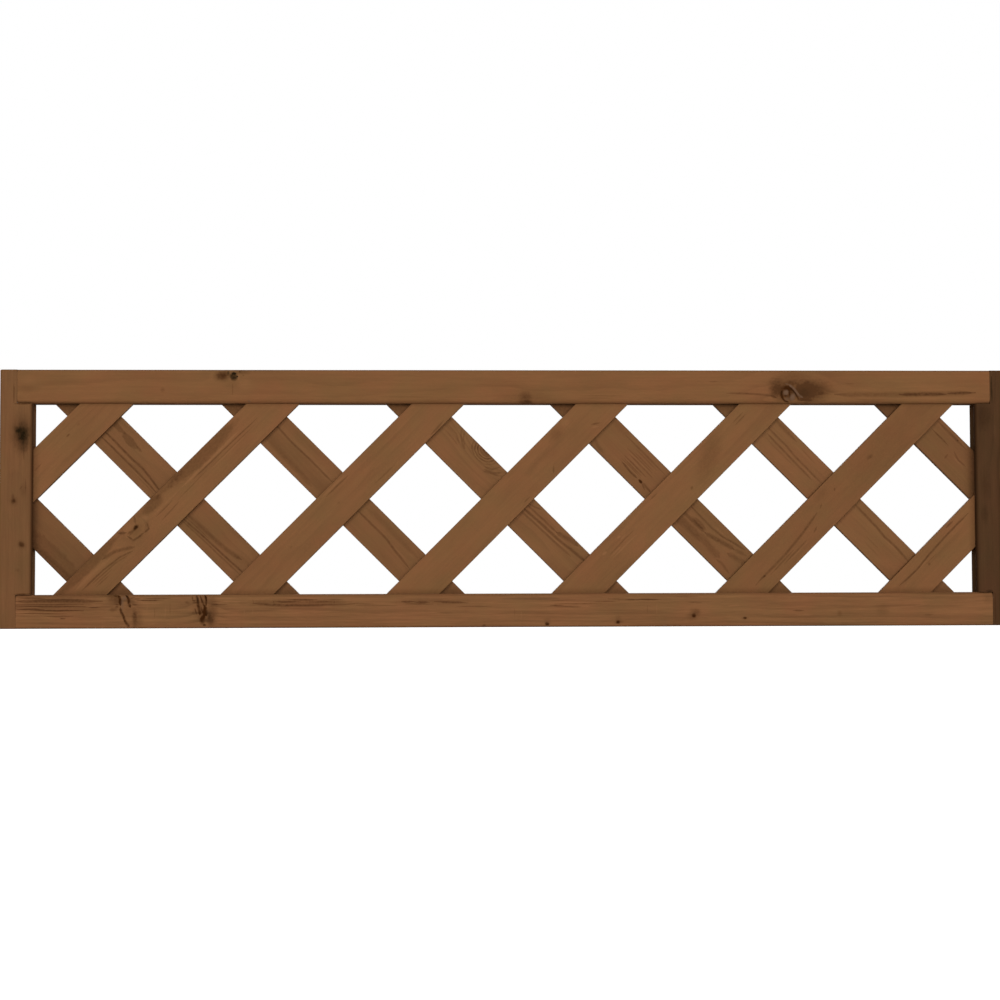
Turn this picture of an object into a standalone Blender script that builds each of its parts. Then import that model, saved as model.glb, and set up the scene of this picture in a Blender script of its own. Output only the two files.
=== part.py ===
"""Lattice panel: a grooved softwood frame that holds two layers of diagonal slats.

The panel stands on its bottom rail. +X runs along it to the right, +Z is up, and the front faces -Y.
The origin is at the middle of the bottom face. Every size is in metres.
"""

from math import atan2, pi, radians, sin, tan

import bmesh
import bpy
from mathutils import Matrix

# Sizes of the whole panel
PANEL_LENGTH = 1.200
PANEL_HEIGHT = 0.306
FRAME_DEPTH = 0.030

# Sizes of the frame's battens
STILE_FACE = 0.039
RAIL_FACE = 0.040
FRAME_ARRIS = 0.002
FRAME_ARRIS_STEPS = 3
GROOVE_DEPTH = 0.019

# Sizes of the lattice, which is laid out from its crossings: a row of them at mid height, whose outermost
# ones lie past the stiles' inner edges, and a row under the top rail with its twin over the bottom rail
SLATS_A_LAYER = 7
SLAT_WIDTH = 0.045
SLAT_THICKNESS = 0.008
SLAT_ARRIS = 0.0007
SLAT_ARRIS_STEPS = 2
SLAT_END_PLAY = 0.004
OUTER_CROSSING_PAST_STILE = 0.0276
UPPER_CROSSING_UNDER_RAIL = 0.0149

# Sizes of the countersunk corner screws, two side by side at each corner
SCREW_LENGTH = 0.045
SCREW_SHANK_RADIUS = 0.002
SCREW_HEAD_RADIUS = 0.004
SCREW_HEAD_HEIGHT = 0.0028
SCREW_TIP = 0.005
SCREW_SINK = 0.0006
SCREW_FROM_FACE = 0.008
SCREW_SIDES = 16

# Sizes of the staples that hold the crossings together, driven from the back
STAPLE_CROWN = 0.0106
STAPLE_WIRE = 0.0012
STAPLE_TIP_COVER = 0.0025

# Clearances
FIT_GAP = 0.0003
CUT_PAST = 0.005

# Sizes that follow from the ones above
GROOVE_WIDTH = 2 * SLAT_THICKNESS + 3 * FIT_GAP
LAYER_OFFSET = (SLAT_THICKNESS + FIT_GAP) / 2
OPENING_LENGTH = PANEL_LENGTH - 2 * STILE_FACE
OPENING_HEIGHT = PANEL_HEIGHT - 2 * RAIL_FACE
MID_HEIGHT = PANEL_HEIGHT / 2
RAIL_LENGTH = OPENING_LENGTH + 2 * GROOVE_DEPTH - 2 * FIT_GAP
SLAT_REACH = GROOVE_DEPTH - SLAT_END_PLAY
SLAT_PITCH = (OPENING_LENGTH + 2 * OUTER_CROSSING_PAST_STILE) / (SLATS_A_LAYER - 1)
ROW_RISE = OPENING_HEIGHT / 2 - UPPER_CROSSING_UNDER_RAIL
SLAT_ANGLE = atan2(ROW_RISE, SLAT_PITCH / 2)

# Creases blunter than this are shaded smooth
SMOOTH_UNDER = radians(30)

# Colours of the wood and metal, as linear red, green and blue, and how rough they are
RAIL_BROWN = (0.198, 0.091, 0.037)
STILE_BROWN = (0.175, 0.080, 0.033)
DARK_BROWN = (0.072, 0.032, 0.0145)
FRONT_SLAT_BROWN = (0.185, 0.084, 0.033)
BACK_SLAT_BROWN = (0.156, 0.072, 0.027)
ZINC_YELLOW = (0.52, 0.44, 0.27)
STAPLE_GREY = (0.48, 0.48, 0.47)
WOOD_ROUGHNESS = 0.75
METAL_ROUGHNESS = 0.35


def clear_scene():
    """Remove the objects that are in the file at the start."""
    for old in list(bpy.data.objects):
        bpy.data.objects.remove(old, do_unlink=True)


def new_collection(name):
    collection = bpy.data.collections.new(name)
    bpy.context.scene.collection.children.link(collection)
    return collection


def move_to(collection, thing):
    for holder in list(thing.users_collection):
        holder.objects.unlink(thing)
    collection.objects.link(thing)


def give_material(thing, colour, roughness=WOOD_ROUGHNESS, metallic=0.0):
    material = bpy.data.materials.new(thing.name)
    material.use_nodes = True
    shader = material.node_tree.nodes["Principled BSDF"]
    shader.inputs["Base Color"].default_value = (*colour, 1.0)
    shader.inputs["Roughness"].default_value = roughness
    shader.inputs["Metallic"].default_value = metallic
    material.diffuse_color = (*colour, 1.0)
    thing.data.materials.clear()
    thing.data.materials.append(material)


def block(name, size, centre, collection, tilt=0.0):
    """A box from a unit cube, with its scale applied, turned about Y by tilt."""
    bpy.ops.mesh.primitive_cube_add(size=1.0)
    box = bpy.context.active_object
    box.name = name
    box.data.name = name
    box.data.transform(Matrix.Diagonal((*size, 1.0)))
    box.location = centre
    box.rotation_euler = (0.0, tilt, 0.0)
    move_to(collection, box)
    return box


def round_long_arrises(board, radius, steps):
    """Round the four arrises that run along the board's local X."""
    mesh = board.data
    mesh.shade_smooth()
    mesh.set_sharp_from_angle(angle=SMOOTH_UNDER)
    weights = mesh.attributes.new("bevel_weight_edge", "FLOAT", "EDGE")
    for edge in mesh.edges:
        start, end = (mesh.vertices[i].co for i in edge.vertices)
        weights.data[edge.index].value = 1.0 if abs(start.x - end.x) > radius else 0.0
    bevel = board.modifiers.new("rounded_arrises", "BEVEL")
    bevel.limit_method = "WEIGHT"
    bevel.width = radius
    bevel.segments = steps


def as_cutter(thing):
    thing.hide_render = True
    thing.display_type = "WIRE"
    return thing


def combine(thing, cutter, operation, label):
    boolean = thing.modifiers.new(label, "BOOLEAN")
    boolean.operation = operation
    boolean.solver = "EXACT"
    boolean.object = cutter


def evaluated_mesh(thing, name):
    """The mesh of an object with its modifiers and its own place applied, welded closed."""
    depsgraph = bpy.context.evaluated_depsgraph_get()
    mesh = bpy.data.meshes.new_from_object(thing.evaluated_get(depsgraph))
    mesh.name = name
    mesh.transform(thing.matrix_world)
    shape = bmesh.new()
    shape.from_mesh(mesh)
    bmesh.ops.remove_doubles(shape, verts=shape.verts, dist=0.00001)
    shape.to_mesh(mesh)
    shape.free()
    return mesh


def placed_copy(name, mesh, place, collection):
    """An object of its own that shares the mesh and stands at the place."""
    copy = bpy.data.objects.new(name, mesh)
    copy.matrix_world = place
    collection.objects.link(copy)
    return copy


def cutter_group(name, mesh, places, collection):
    """One cutter that holds a separate copy of the mesh at each place."""
    shape = bmesh.new()
    for place in places:
        first = len(shape.verts)
        shape.from_mesh(mesh)
        shape.verts.ensure_lookup_table()
        bmesh.ops.transform(shape, matrix=place, verts=shape.verts[first:])
    group_mesh = bpy.data.meshes.new(name)
    shape.to_mesh(group_mesh)
    shape.free()
    group = bpy.data.objects.new(name, group_mesh)
    collection.objects.link(group)
    return as_cutter(group)


def screw_mesh(name, grow, above):
    """A countersunk screw turned about Z with its head's face at zero, larger all round by grow."""
    head = SCREW_HEAD_RADIUS + grow
    shank = SCREW_SHANK_RADIUS + grow
    profile = [
        (0.0, above),
        (head, above),
        (head, 0.0),
        (shank, -SCREW_HEAD_HEIGHT),
        (shank, SCREW_TIP - SCREW_LENGTH),
        (0.0, -SCREW_LENGTH - grow),
    ]
    if above == 0.0:
        del profile[1]
    outline = bpy.data.meshes.new(name)
    points = [(radius, 0.0, height) for radius, height in profile]
    edges = [(i, i + 1) for i in range(len(points) - 1)]
    outline.from_pydata(points, edges, [])
    turned = bpy.data.objects.new(name, outline)
    bpy.context.scene.collection.objects.link(turned)
    spin = turned.modifiers.new("turned", "SCREW")
    spin.axis = "Z"
    spin.steps = SCREW_SIDES
    spin.render_steps = SCREW_SIDES
    spin.use_merge_vertices = True
    spin.merge_threshold = 0.00001
    bpy.context.view_layer.update()
    mesh = evaluated_mesh(turned, name)
    mesh.shade_smooth()
    mesh.set_sharp_from_angle(angle=SMOOTH_UNDER)
    bpy.data.objects.remove(turned, do_unlink=True)
    return mesh


def staple_mesh(name, grow, above):
    """A staple with its crown's outer face at y = 0 and its legs towards -Y, larger by grow.

    The U is drawn flat, with its crown along X, and extruded by the thickness of the wire.
    """
    half_crown = STAPLE_CROWN / 2
    inside = half_crown - STAPLE_WIRE
    leg = 2 * SLAT_THICKNESS + FIT_GAP - STAPLE_TIP_COVER
    points = [
        (-half_crown - grow, above),
        (-half_crown - grow, -leg - grow),
        (-inside + grow, -leg - grow),
        (-inside + grow, -STAPLE_WIRE - grow),
        (inside - grow, -STAPLE_WIRE - grow),
        (inside - grow, -leg - grow),
        (half_crown + grow, -leg - grow),
        (half_crown + grow, above),
    ]
    curve = bpy.data.curves.new(name, "CURVE")
    curve.dimensions = "2D"
    curve.fill_mode = "BOTH"
    curve.extrude = STAPLE_WIRE / 2 + grow
    spline = curve.splines.new("POLY")
    spline.points.add(len(points) - 1)
    for point, (x, y) in zip(spline.points, points):
        point.co = (x, y, 0.0, 1.0)
    spline.use_cyclic_u = True
    drawn = bpy.data.objects.new(name, curve)
    bpy.context.scene.collection.objects.link(drawn)
    bpy.context.view_layer.update()
    mesh = evaluated_mesh(drawn, name)
    bpy.data.objects.remove(drawn, do_unlink=True)
    return mesh


def screw_places():
    """Two screws at each corner, side by side in the solid wood between the groove and the rail's outer face."""
    solid_wood = RAIL_FACE - GROOVE_DEPTH
    places = {}
    for side, sign in (("left", -1), ("right", 1)):
        outwards = Matrix.Rotation(sign * pi / 2, 4, "Y")
        head = sign * (PANEL_LENGTH / 2 - SCREW_SINK)
        for rail, height in (("bottom", solid_wood / 2), ("top", PANEL_HEIGHT - solid_wood / 2)):
            for depth, toward in (("front", -1), ("back", 1)):
                y = toward * (FRAME_DEPTH / 2 - SCREW_FROM_FACE)
                places[side, rail, depth] = Matrix.Translation((head, y, height)) @ outwards
    return places


def slat_columns():
    """Places along X where the slats' centre lines meet the panel's mid height."""
    middle = (SLATS_A_LAYER - 1) / 2
    return [(k - middle) * SLAT_PITCH for k in range(SLATS_A_LAYER)]


def stapled_crossings(columns):
    """The crossings that lie inside the opening, as (front slat, back slat, place of the staple)."""
    margin = STAPLE_CROWN / 2
    crown_face = LAYER_OFFSET + SLAT_THICKNESS / 2
    crossings = []
    for front, front_x in enumerate(columns):
        for back, back_x in enumerate(columns):
            x = (front_x + back_x) / 2
            rise = (back - front) * ROW_RISE
            inside_x = abs(x) < OPENING_LENGTH / 2 - margin
            inside_z = abs(rise) < OPENING_HEIGHT / 2 - margin
            if inside_x and inside_z:
                place = Matrix.Translation((x, crown_face, MID_HEIGHT + rise))
                crossings.append((front, back, place))
    return crossings


def build_rail(name, low, groove_at, holes, parts, cutters):
    """A rail whose groove faces the opening and whose ends are let into the stiles."""
    centre = (0.0, 0.0, low + RAIL_FACE / 2)
    rail = block(name, (RAIL_LENGTH, FRAME_DEPTH, RAIL_FACE), centre, parts)
    round_long_arrises(rail, FRAME_ARRIS, FRAME_ARRIS_STEPS)
    groove_size = (PANEL_LENGTH, GROOVE_WIDTH, 2 * GROOVE_DEPTH)
    groove = as_cutter(block(name + "_groove", groove_size, (0.0, 0.0, groove_at), cutters))
    combine(rail, groove, "DIFFERENCE", "groove")
    combine(rail, holes, "DIFFERENCE", "screw_holes")
    give_material(rail, RAIL_BROWN)
    return rail


def build_stile(name, sign, colour, holes, parts, cutters):
    """A full-height stile, grooved on its inner edge and notched there for both rails."""
    centre = (sign * (PANEL_LENGTH - STILE_FACE) / 2, 0.0, MID_HEIGHT)
    size = (PANEL_HEIGHT, FRAME_DEPTH, STILE_FACE)
    stile = block(name, size, centre, parts, tilt=pi / 2)
    round_long_arrises(stile, FRAME_ARRIS, FRAME_ARRIS_STEPS)
    inner_edge = sign * OPENING_LENGTH / 2
    groove_size = (2 * GROOVE_DEPTH, GROOVE_WIDTH, OPENING_HEIGHT)
    groove = as_cutter(block(name + "_groove", groove_size, (inner_edge, 0.0, MID_HEIGHT), cutters))
    combine(stile, groove, "DIFFERENCE", "groove")
    for rail, rail_middle in (("bottom", RAIL_FACE / 2), ("top", PANEL_HEIGHT - RAIL_FACE / 2)):
        away = -1 if rail == "bottom" else 1
        notch_size = (2 * GROOVE_DEPTH, FRAME_DEPTH + 2 * CUT_PAST, RAIL_FACE + FIT_GAP + CUT_PAST)
        notch_at = (inner_edge, 0.0, rail_middle + away * (CUT_PAST - FIT_GAP) / 2)
        notch = as_cutter(block(f"{name}_{rail}_notch", notch_size, notch_at, cutters))
        combine(stile, notch, "DIFFERENCE", rail + "_notch")
    combine(stile, holes, "DIFFERENCE", "screw_holes")
    give_material(stile, colour)
    return stile


def build_slat(name, column, y, tilt, reach, holes, colour, parts):
    """A slat at tilt about Y, cut along the frame's battens where it ends in their grooves."""
    blank = (OPENING_HEIGHT + 2 * GROOVE_DEPTH) / sin(SLAT_ANGLE) + 2 * SLAT_WIDTH / tan(SLAT_ANGLE)
    size = (blank, SLAT_THICKNESS, SLAT_WIDTH)
    slat = block(name, size, (column, y, MID_HEIGHT), parts, tilt)
    round_long_arrises(slat, SLAT_ARRIS, SLAT_ARRIS_STEPS)
    combine(slat, reach, "INTERSECT", "cut_to_length")
    if holes is not None:
        combine(slat, holes, "DIFFERENCE", "staple_holes")
    give_material(slat, colour)
    return slat


def build_frame(parts, cutters):
    """The two rails, the two stiles and the screws that hold them together at the corners."""
    places = screw_places()
    hole = screw_mesh("screw_hole", FIT_GAP, CUT_PAST)

    def holes_at(where):
        found = [place for key, place in places.items() if where in key]
        return cutter_group(where + "_screw_holes", hole, found, cutters)

    top_low = PANEL_HEIGHT - RAIL_FACE
    pieces = [
        build_rail("bottom_rail", 0.0, RAIL_FACE, holes_at("bottom"), parts, cutters),
        build_rail("top_rail", top_low, top_low, holes_at("top"), parts, cutters),
        build_stile("left_stile", -1, STILE_BROWN, holes_at("left"), parts, cutters),
        build_stile("right_stile", 1, DARK_BROWN, holes_at("right"), parts, cutters),
    ]
    screw = screw_mesh("corner_screw", 0.0, 0.0)
    for (side, rail, depth), place in places.items():
        name = f"{rail}_{side}_{depth}_screw"
        pieces.append(placed_copy(name, screw, place, parts))
    give_material(pieces[-1], ZINC_YELLOW, METAL_ROUGHNESS, metallic=1.0)
    return pieces


def build_lattice(parts, cutters):
    """The front slats, which rise to the right, the back slats, which fall, and their staples."""
    columns = slat_columns()
    crossings = stapled_crossings(columns)
    reach_size = (OPENING_LENGTH + 2 * SLAT_REACH, FRAME_DEPTH, OPENING_HEIGHT + 2 * SLAT_REACH)
    reach = as_cutter(block("slat_reach", reach_size, (0.0, 0.0, MID_HEIGHT), cutters))
    hole = staple_mesh("staple_hole", FIT_GAP, CUT_PAST)
    layers = (
        ("front_slat", 0, -LAYER_OFFSET, -SLAT_ANGLE, FRONT_SLAT_BROWN),
        ("back_slat", 1, LAYER_OFFSET, SLAT_ANGLE, BACK_SLAT_BROWN),
    )
    pieces = []
    for layer, which, y, tilt, colour in layers:
        for number, column in enumerate(columns):
            name = f"{layer}_{number + 1}"
            found = [crossing[2] for crossing in crossings if crossing[which] == number]
            holes = cutter_group(name + "_staple_holes", hole, found, cutters) if found else None
            pieces.append(build_slat(name, column, y, tilt, reach, holes, colour, parts))
    staple = staple_mesh("crossing_staple", 0.0, 0.0)
    for front, back, place in crossings:
        name = f"staple_{front + 1}_{back + 1}"
        pieces.append(placed_copy(name, staple, place, parts))
    give_material(pieces[-1], STAPLE_GREY, METAL_ROUGHNESS, metallic=1.0)
    return pieces


def build_panel():
    clear_scene()
    parts = new_collection("lattice_panel")
    cutters = new_collection("cutters")
    pieces = build_frame(parts, cutters) + build_lattice(parts, cutters)
    base = bpy.data.objects.new("lattice_panel_base", None)
    parts.objects.link(base)
    for piece in pieces:
        piece.parent = base
    print(len(pieces), "pieces")


build_panel()
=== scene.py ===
# %% [markdown]
# # A lattice panel in brown-stained softwood
#
# The panel is a long, low frame: two rails and two stiles, each ploughed with a groove along the
# edge that faces the opening. Fourteen thin slats sit in those grooves, in two layers that run at
# 45 degrees to the frame. Screws hold the corners, and a staple holds each crossing from behind.
#
# The imported CAD model is loaded first. It fixes every size, and the pieces made here take the
# places of its nodes. The box of the CAD model is measured and printed.

import math

import bpy
import numpy as np
from mathutils import Matrix, Vector


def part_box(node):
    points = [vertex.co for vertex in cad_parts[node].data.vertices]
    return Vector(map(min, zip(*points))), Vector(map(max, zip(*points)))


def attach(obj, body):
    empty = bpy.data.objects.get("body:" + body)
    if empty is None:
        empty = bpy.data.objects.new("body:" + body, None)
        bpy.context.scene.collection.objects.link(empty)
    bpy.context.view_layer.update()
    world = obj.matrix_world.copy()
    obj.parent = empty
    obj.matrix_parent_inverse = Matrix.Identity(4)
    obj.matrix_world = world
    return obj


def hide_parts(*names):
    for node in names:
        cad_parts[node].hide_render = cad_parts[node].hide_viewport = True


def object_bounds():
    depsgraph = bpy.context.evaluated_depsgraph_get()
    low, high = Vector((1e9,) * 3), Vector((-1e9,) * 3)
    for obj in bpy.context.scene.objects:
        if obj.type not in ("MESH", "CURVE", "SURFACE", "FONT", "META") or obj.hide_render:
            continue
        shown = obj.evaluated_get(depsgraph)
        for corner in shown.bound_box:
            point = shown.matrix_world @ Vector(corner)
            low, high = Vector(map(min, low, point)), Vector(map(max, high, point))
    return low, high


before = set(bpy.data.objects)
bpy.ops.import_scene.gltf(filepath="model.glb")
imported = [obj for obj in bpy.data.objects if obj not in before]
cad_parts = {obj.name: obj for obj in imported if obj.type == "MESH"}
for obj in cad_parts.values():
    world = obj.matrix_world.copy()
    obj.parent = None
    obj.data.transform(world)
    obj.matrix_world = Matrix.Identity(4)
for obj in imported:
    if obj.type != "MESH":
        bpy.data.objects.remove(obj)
cad_low, cad_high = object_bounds()
print("CAD box", [round(v, 4) for v in cad_low], [round(v, 4) for v in cad_high])

# %% [markdown]
# ## A short way to write node trees
#
# Both Geometry Nodes and materials are trees of small nodes, and drawing them in Python takes three
# calls for every sum. Here a `Wire` is one output of a node, and arithmetic on it adds the Math node
# for it. A `Plan` adds the other nodes. The tree that results is an ordinary one, and can be opened
# and changed in Blender's node editors.

# %% Wires and plans
class Wire:
    """An output of a node. Sums and products of wires add Math nodes to their tree."""

    def __init__(self, plan, socket):
        self.plan = plan
        self.socket = socket

    def __add__(self, other):
        return self.plan.math("ADD", self, other)

    def __radd__(self, other):
        return self.plan.math("ADD", other, self)

    def __sub__(self, other):
        return self.plan.math("SUBTRACT", self, other)

    def __rsub__(self, other):
        return self.plan.math("SUBTRACT", other, self)

    def __mul__(self, other):
        return self.plan.math("MULTIPLY", self, other)

    def __truediv__(self, other):
        return self.plan.math("DIVIDE", self, other)

    def __rtruediv__(self, other):
        return self.plan.math("DIVIDE", other, self)


class Plan:
    """A node tree, and the calls that add to it."""

    def __init__(self, tree):
        self.tree = tree
        self.made = 0

    def node(self, kind, title="", **settings):
        new = self.tree.nodes.new(kind)
        new.label = title
        for name, value in settings.items():
            setattr(new, name, value)
        new.location = (self.made % 24 * 190, -(self.made // 24) * 260)
        self.made += 1
        return new

    def feed(self, socket, value):
        if isinstance(value, Wire):
            self.tree.links.new(value.socket, socket)
        elif value is not None:
            socket.default_value = value

    def run(self, kind, *values, **settings):
        """Add a node, feed its first inputs in order, and give the wire of its first output."""
        new = self.node(kind, **settings)
        sockets = [s for s in new.inputs if s.enabled]
        for socket, value in zip(sockets, values):
            self.feed(socket, value)
        return Wire(self, [s for s in new.outputs if s.enabled][0])

    def math(self, operation, *values):
        return self.run("ShaderNodeMath", *values, operation=operation)

    def vector(self, operation, *values):
        return self.run("ShaderNodeVectorMath", *values, operation=operation)

    def combine(self, x, y, z):
        return self.run("ShaderNodeCombineXYZ", x, y, z)

    def separate(self, vector):
        new = self.node("ShaderNodeSeparateXYZ")
        self.feed(new.inputs[0], vector)
        return [Wire(self, s) for s in new.outputs]

    def ramp(self, value, low, high, to_low=0.0, to_high=1.0, soft=False):
        """Map low..high to to_low..to_high, held at the ends."""
        kind = "SMOOTHSTEP" if soft else "LINEAR"
        return self.run(
            "ShaderNodeMapRange",
            value,
            low,
            high,
            to_low,
            to_high,
            interpolation_type=kind,
            clamp=not soft,
        )

    def noise(self, vector, detail, roughness=0.5):
        """Noise from 0 to 1, one bump for each unit of the vector."""
        new = self.node("ShaderNodeTexNoise", noise_dimensions="3D")
        self.feed(new.inputs["Vector"], vector)
        new.inputs["Scale"].default_value = 1.0
        new.inputs["Detail"].default_value = detail
        new.inputs["Roughness"].default_value = roughness
        return Wire(self, new.outputs[0])

    def pick(self, title, kind, index, values):
        """The value at an index. The node starts with two items, so it needs new ones for more."""
        new = self.node("GeometryNodeIndexSwitch", title, data_type=kind)
        for _ in values[2:]:
            new.index_switch_items.new()
        self.feed(new.inputs[0], index)
        for number, value in enumerate(values, 1):
            self.feed(new.inputs[number], value)
        return Wire(self, new.outputs[0])

    def subtract(self, title, geometry, cutter, overlaps):
        """Take one solid out of another. The parts of the cutter may overlap each other."""
        new = self.node("GeometryNodeMeshBoolean", title, operation="DIFFERENCE")
        new.solver = "EXACT"
        new.inputs["Self Intersection"].default_value = overlaps
        self.feed(new.inputs[0], geometry)
        self.feed(new.inputs[1], cutter)
        return Wire(self, new.outputs[0])


def plan_geometry(name, inputs):
    """A new Geometry Nodes tree with named inputs, and the wires of those inputs."""
    tree = bpy.data.node_groups.new(name, "GeometryNodeTree")
    tree.interface.new_socket(
        name="Geometry", in_out="OUTPUT", socket_type="NodeSocketGeometry"
    )
    kinds = {float: "Float", int: "Int", tuple: "Vector"}
    for title, value in inputs.items():
        kind = kinds.get(type(value), value)
        socket = tree.interface.new_socket(
            name=title, in_out="INPUT", socket_type="NodeSocket" + kind
        )
        if not isinstance(value, str):
            socket.default_value = value
    plan = Plan(tree)
    start = plan.node("NodeGroupInput")
    wires = {s.name: Wire(plan, s) for s in start.outputs if s.name}
    return plan, wires


def end_geometry(plan, geometry, material):
    """Close a tree: real geometry instead of instances, then its material."""
    geometry = plan.run("GeometryNodeRealizeInstances", geometry)
    geometry = plan.run("GeometryNodeSetMaterial", geometry, None, material)
    last = plan.node("NodeGroupOutput")
    plan.feed(last.inputs[0], geometry)
    return plan.tree


def add_object(name, data):
    """A new object in the scene."""
    made = bpy.data.objects.new(name, data)
    bpy.context.scene.collection.objects.link(made)
    return made


def add_mesh(name, points, faces):
    """A new object made of the given points and faces."""
    mesh = bpy.data.meshes.new(name)
    mesh.from_pydata(points, [], faces)
    return add_object(name, mesh)


def grow(name, tree, smooth_under=40.0, **values):
    """Run a tree once on an empty object, and keep what comes out as a plain mesh."""
    holder = add_object(name + "_plan", bpy.data.meshes.new("empty"))
    modifier = holder.modifiers.new("plan", "NODES")
    modifier.node_group = tree
    for item in tree.interface.items_tree:
        if item.item_type == "SOCKET" and item.in_out == "INPUT":
            title = item.name.lower().replace(" ", "_")
            if title in values:
                modifier[item.identifier] = values.pop(title)
    if values:
        raise ValueError(f"{tree.name} has no input named {sorted(values)}")
    graph = bpy.context.evaluated_depsgraph_get()
    mesh = bpy.data.meshes.new_from_object(holder.evaluated_get(graph))
    bpy.data.objects.remove(holder)
    mesh.name = name
    mesh.shade_smooth()
    mesh.set_sharp_from_angle(angle=math.radians(smooth_under))
    return add_object(name, mesh)


def describe(piece):
    """Print a piece's triangles, its volume, and its edges that don't have exactly two faces."""
    mesh = piece.data
    mesh.calc_loop_triangles()
    sides = {}
    for polygon in mesh.polygons:
        for edge in polygon.edge_keys:
            sides[edge] = sides.get(edge, 0) + 1
    odd = sum(1 for n in sides.values() if n != 2)
    points = np.zeros(len(mesh.vertices) * 3)
    mesh.vertices.foreach_get("co", points)
    points = points.reshape(-1, 3)
    corners = np.zeros(len(mesh.loop_triangles) * 3, int)
    mesh.loop_triangles.foreach_get("vertices", corners)
    a, b, c = (points[corners[k::3]] for k in range(3))
    volume = float(np.einsum("ij,ij->i", a, np.cross(b, c)).sum() / 6)
    print(
        f"{piece.name}: {len(mesh.loop_triangles)} triangles, "
        f"{volume * 1e6:.1f} cm3, {odd} edges without exactly two faces"
    )


# %% [markdown]
# ## Sizes
#
# Metres, read from the CAD model or repeated from it. Each board is described in its own
# coordinates: x runs along the board, y through it (the front is negative) and z across its face.
# A board's place and its turn about the world's Y axis bring it into the panel, and the same two
# values bring the wood's grain along with it. A stile is notched over each rail's height, so that
# only its neck is left there, 0.1 mm from the rail's end.

# %% Boards of the frame
panel_length = cad_high.x - cad_low.x
panel_height = cad_high.z - cad_low.z
panel_depth = cad_high.y - cad_low.y
rail_low, rail_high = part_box("bottom_rail")
stile_low, stile_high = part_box("left_stile")
rail_face = rail_high.z - rail_low.z
rail_length = rail_high.x - rail_low.x
stile_face = stile_high.x - stile_low.x
half_length = panel_length / 2
mid_height = panel_height / 2
rail_end_gap = 0.0001
neck = half_length - rail_length / 2 - rail_end_gap
print("rail", round(rail_length, 4), "x", round(rail_face, 4), "stile", round(stile_face, 4))

rail_rise = mid_height - rail_face / 2
stile_reach = half_length - stile_face / 2
frame_boards = {
    "top_rail": {"place": (0.0, 0.0, mid_height + rail_rise), "turn": 180.0},
    "bottom_rail": {"place": (0.0, 0.0, mid_height - rail_rise), "turn": 0.0},
    "left_stile": {"place": (-stile_reach, 0.0, mid_height), "turn": 90.0},
    "right_stile": {"place": (stile_reach, 0.0, mid_height), "turn": -90.0},
}

# %% [markdown]
# The slats are spaced evenly, seven in a layer. The front ones rise to the right at 45 degrees and
# the back ones fall, and the two layers pass the middle height of the panel at the same places.
# Those places follow the CAD model, so that each slat made here lies where its node lies. A slat
# stops inside the grooves, at a level of the panel or at a distance from its middle.

# %% Slats
slat_pitch = 0.1962
slat_width = 0.045
slat_thickness = 0.008
slat_slope = 45.0
layer_offset = 0.00415
level_stop = 0.0253
side_stop = 0.5757
slat_levels = (level_stop, panel_height - level_stop)
slat_sides = (-side_stop, side_stop)
slats = {}
for layer, side in (("front", -1), ("back", 1)):
    for number in range(1, 8):
        slats[f"{layer}_slat_{number}"] = {
            "place": ((number - 4) * slat_pitch, side * layer_offset, mid_height),
            "turn": side * slat_slope,
        }
print(len(slats), "slats,", round(slat_pitch * 1000, 1), "mm apart")


def slat_ends(slat):
    """Where a slat stops inside the grooves, as x = a + b z in its own coordinates, at both ends."""
    x, _, z = slat["place"]
    turn = math.radians(slat["turn"])
    level_cuts = [((z - level) / math.sin(turn), 1 / math.tan(turn)) for level in slat_levels]
    side_cuts = [((side - x) / math.cos(turn), -math.tan(turn)) for side in slat_sides]
    level_cuts.sort()
    start = max(level_cuts[0], side_cuts[0])
    end = min(level_cuts[1], side_cuts[1])
    return start, end


for name in ("front_slat_1", "front_slat_4", "back_slat_7"):
    print(name, [tuple(round(v, 3) for v in end) for end in slat_ends(slats[name])])

# %% [markdown]
# ## Staples and screws
#
# Each crossing is held by one staple, driven from behind until its crown is flush. A staple is a
# square wire bent twice, so its path is a line of four points with two rounded corners, swept with
# a square. One tree makes it, and the same tree, with a little more wire, makes the cutter that
# presses its bed into the slats.

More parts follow.
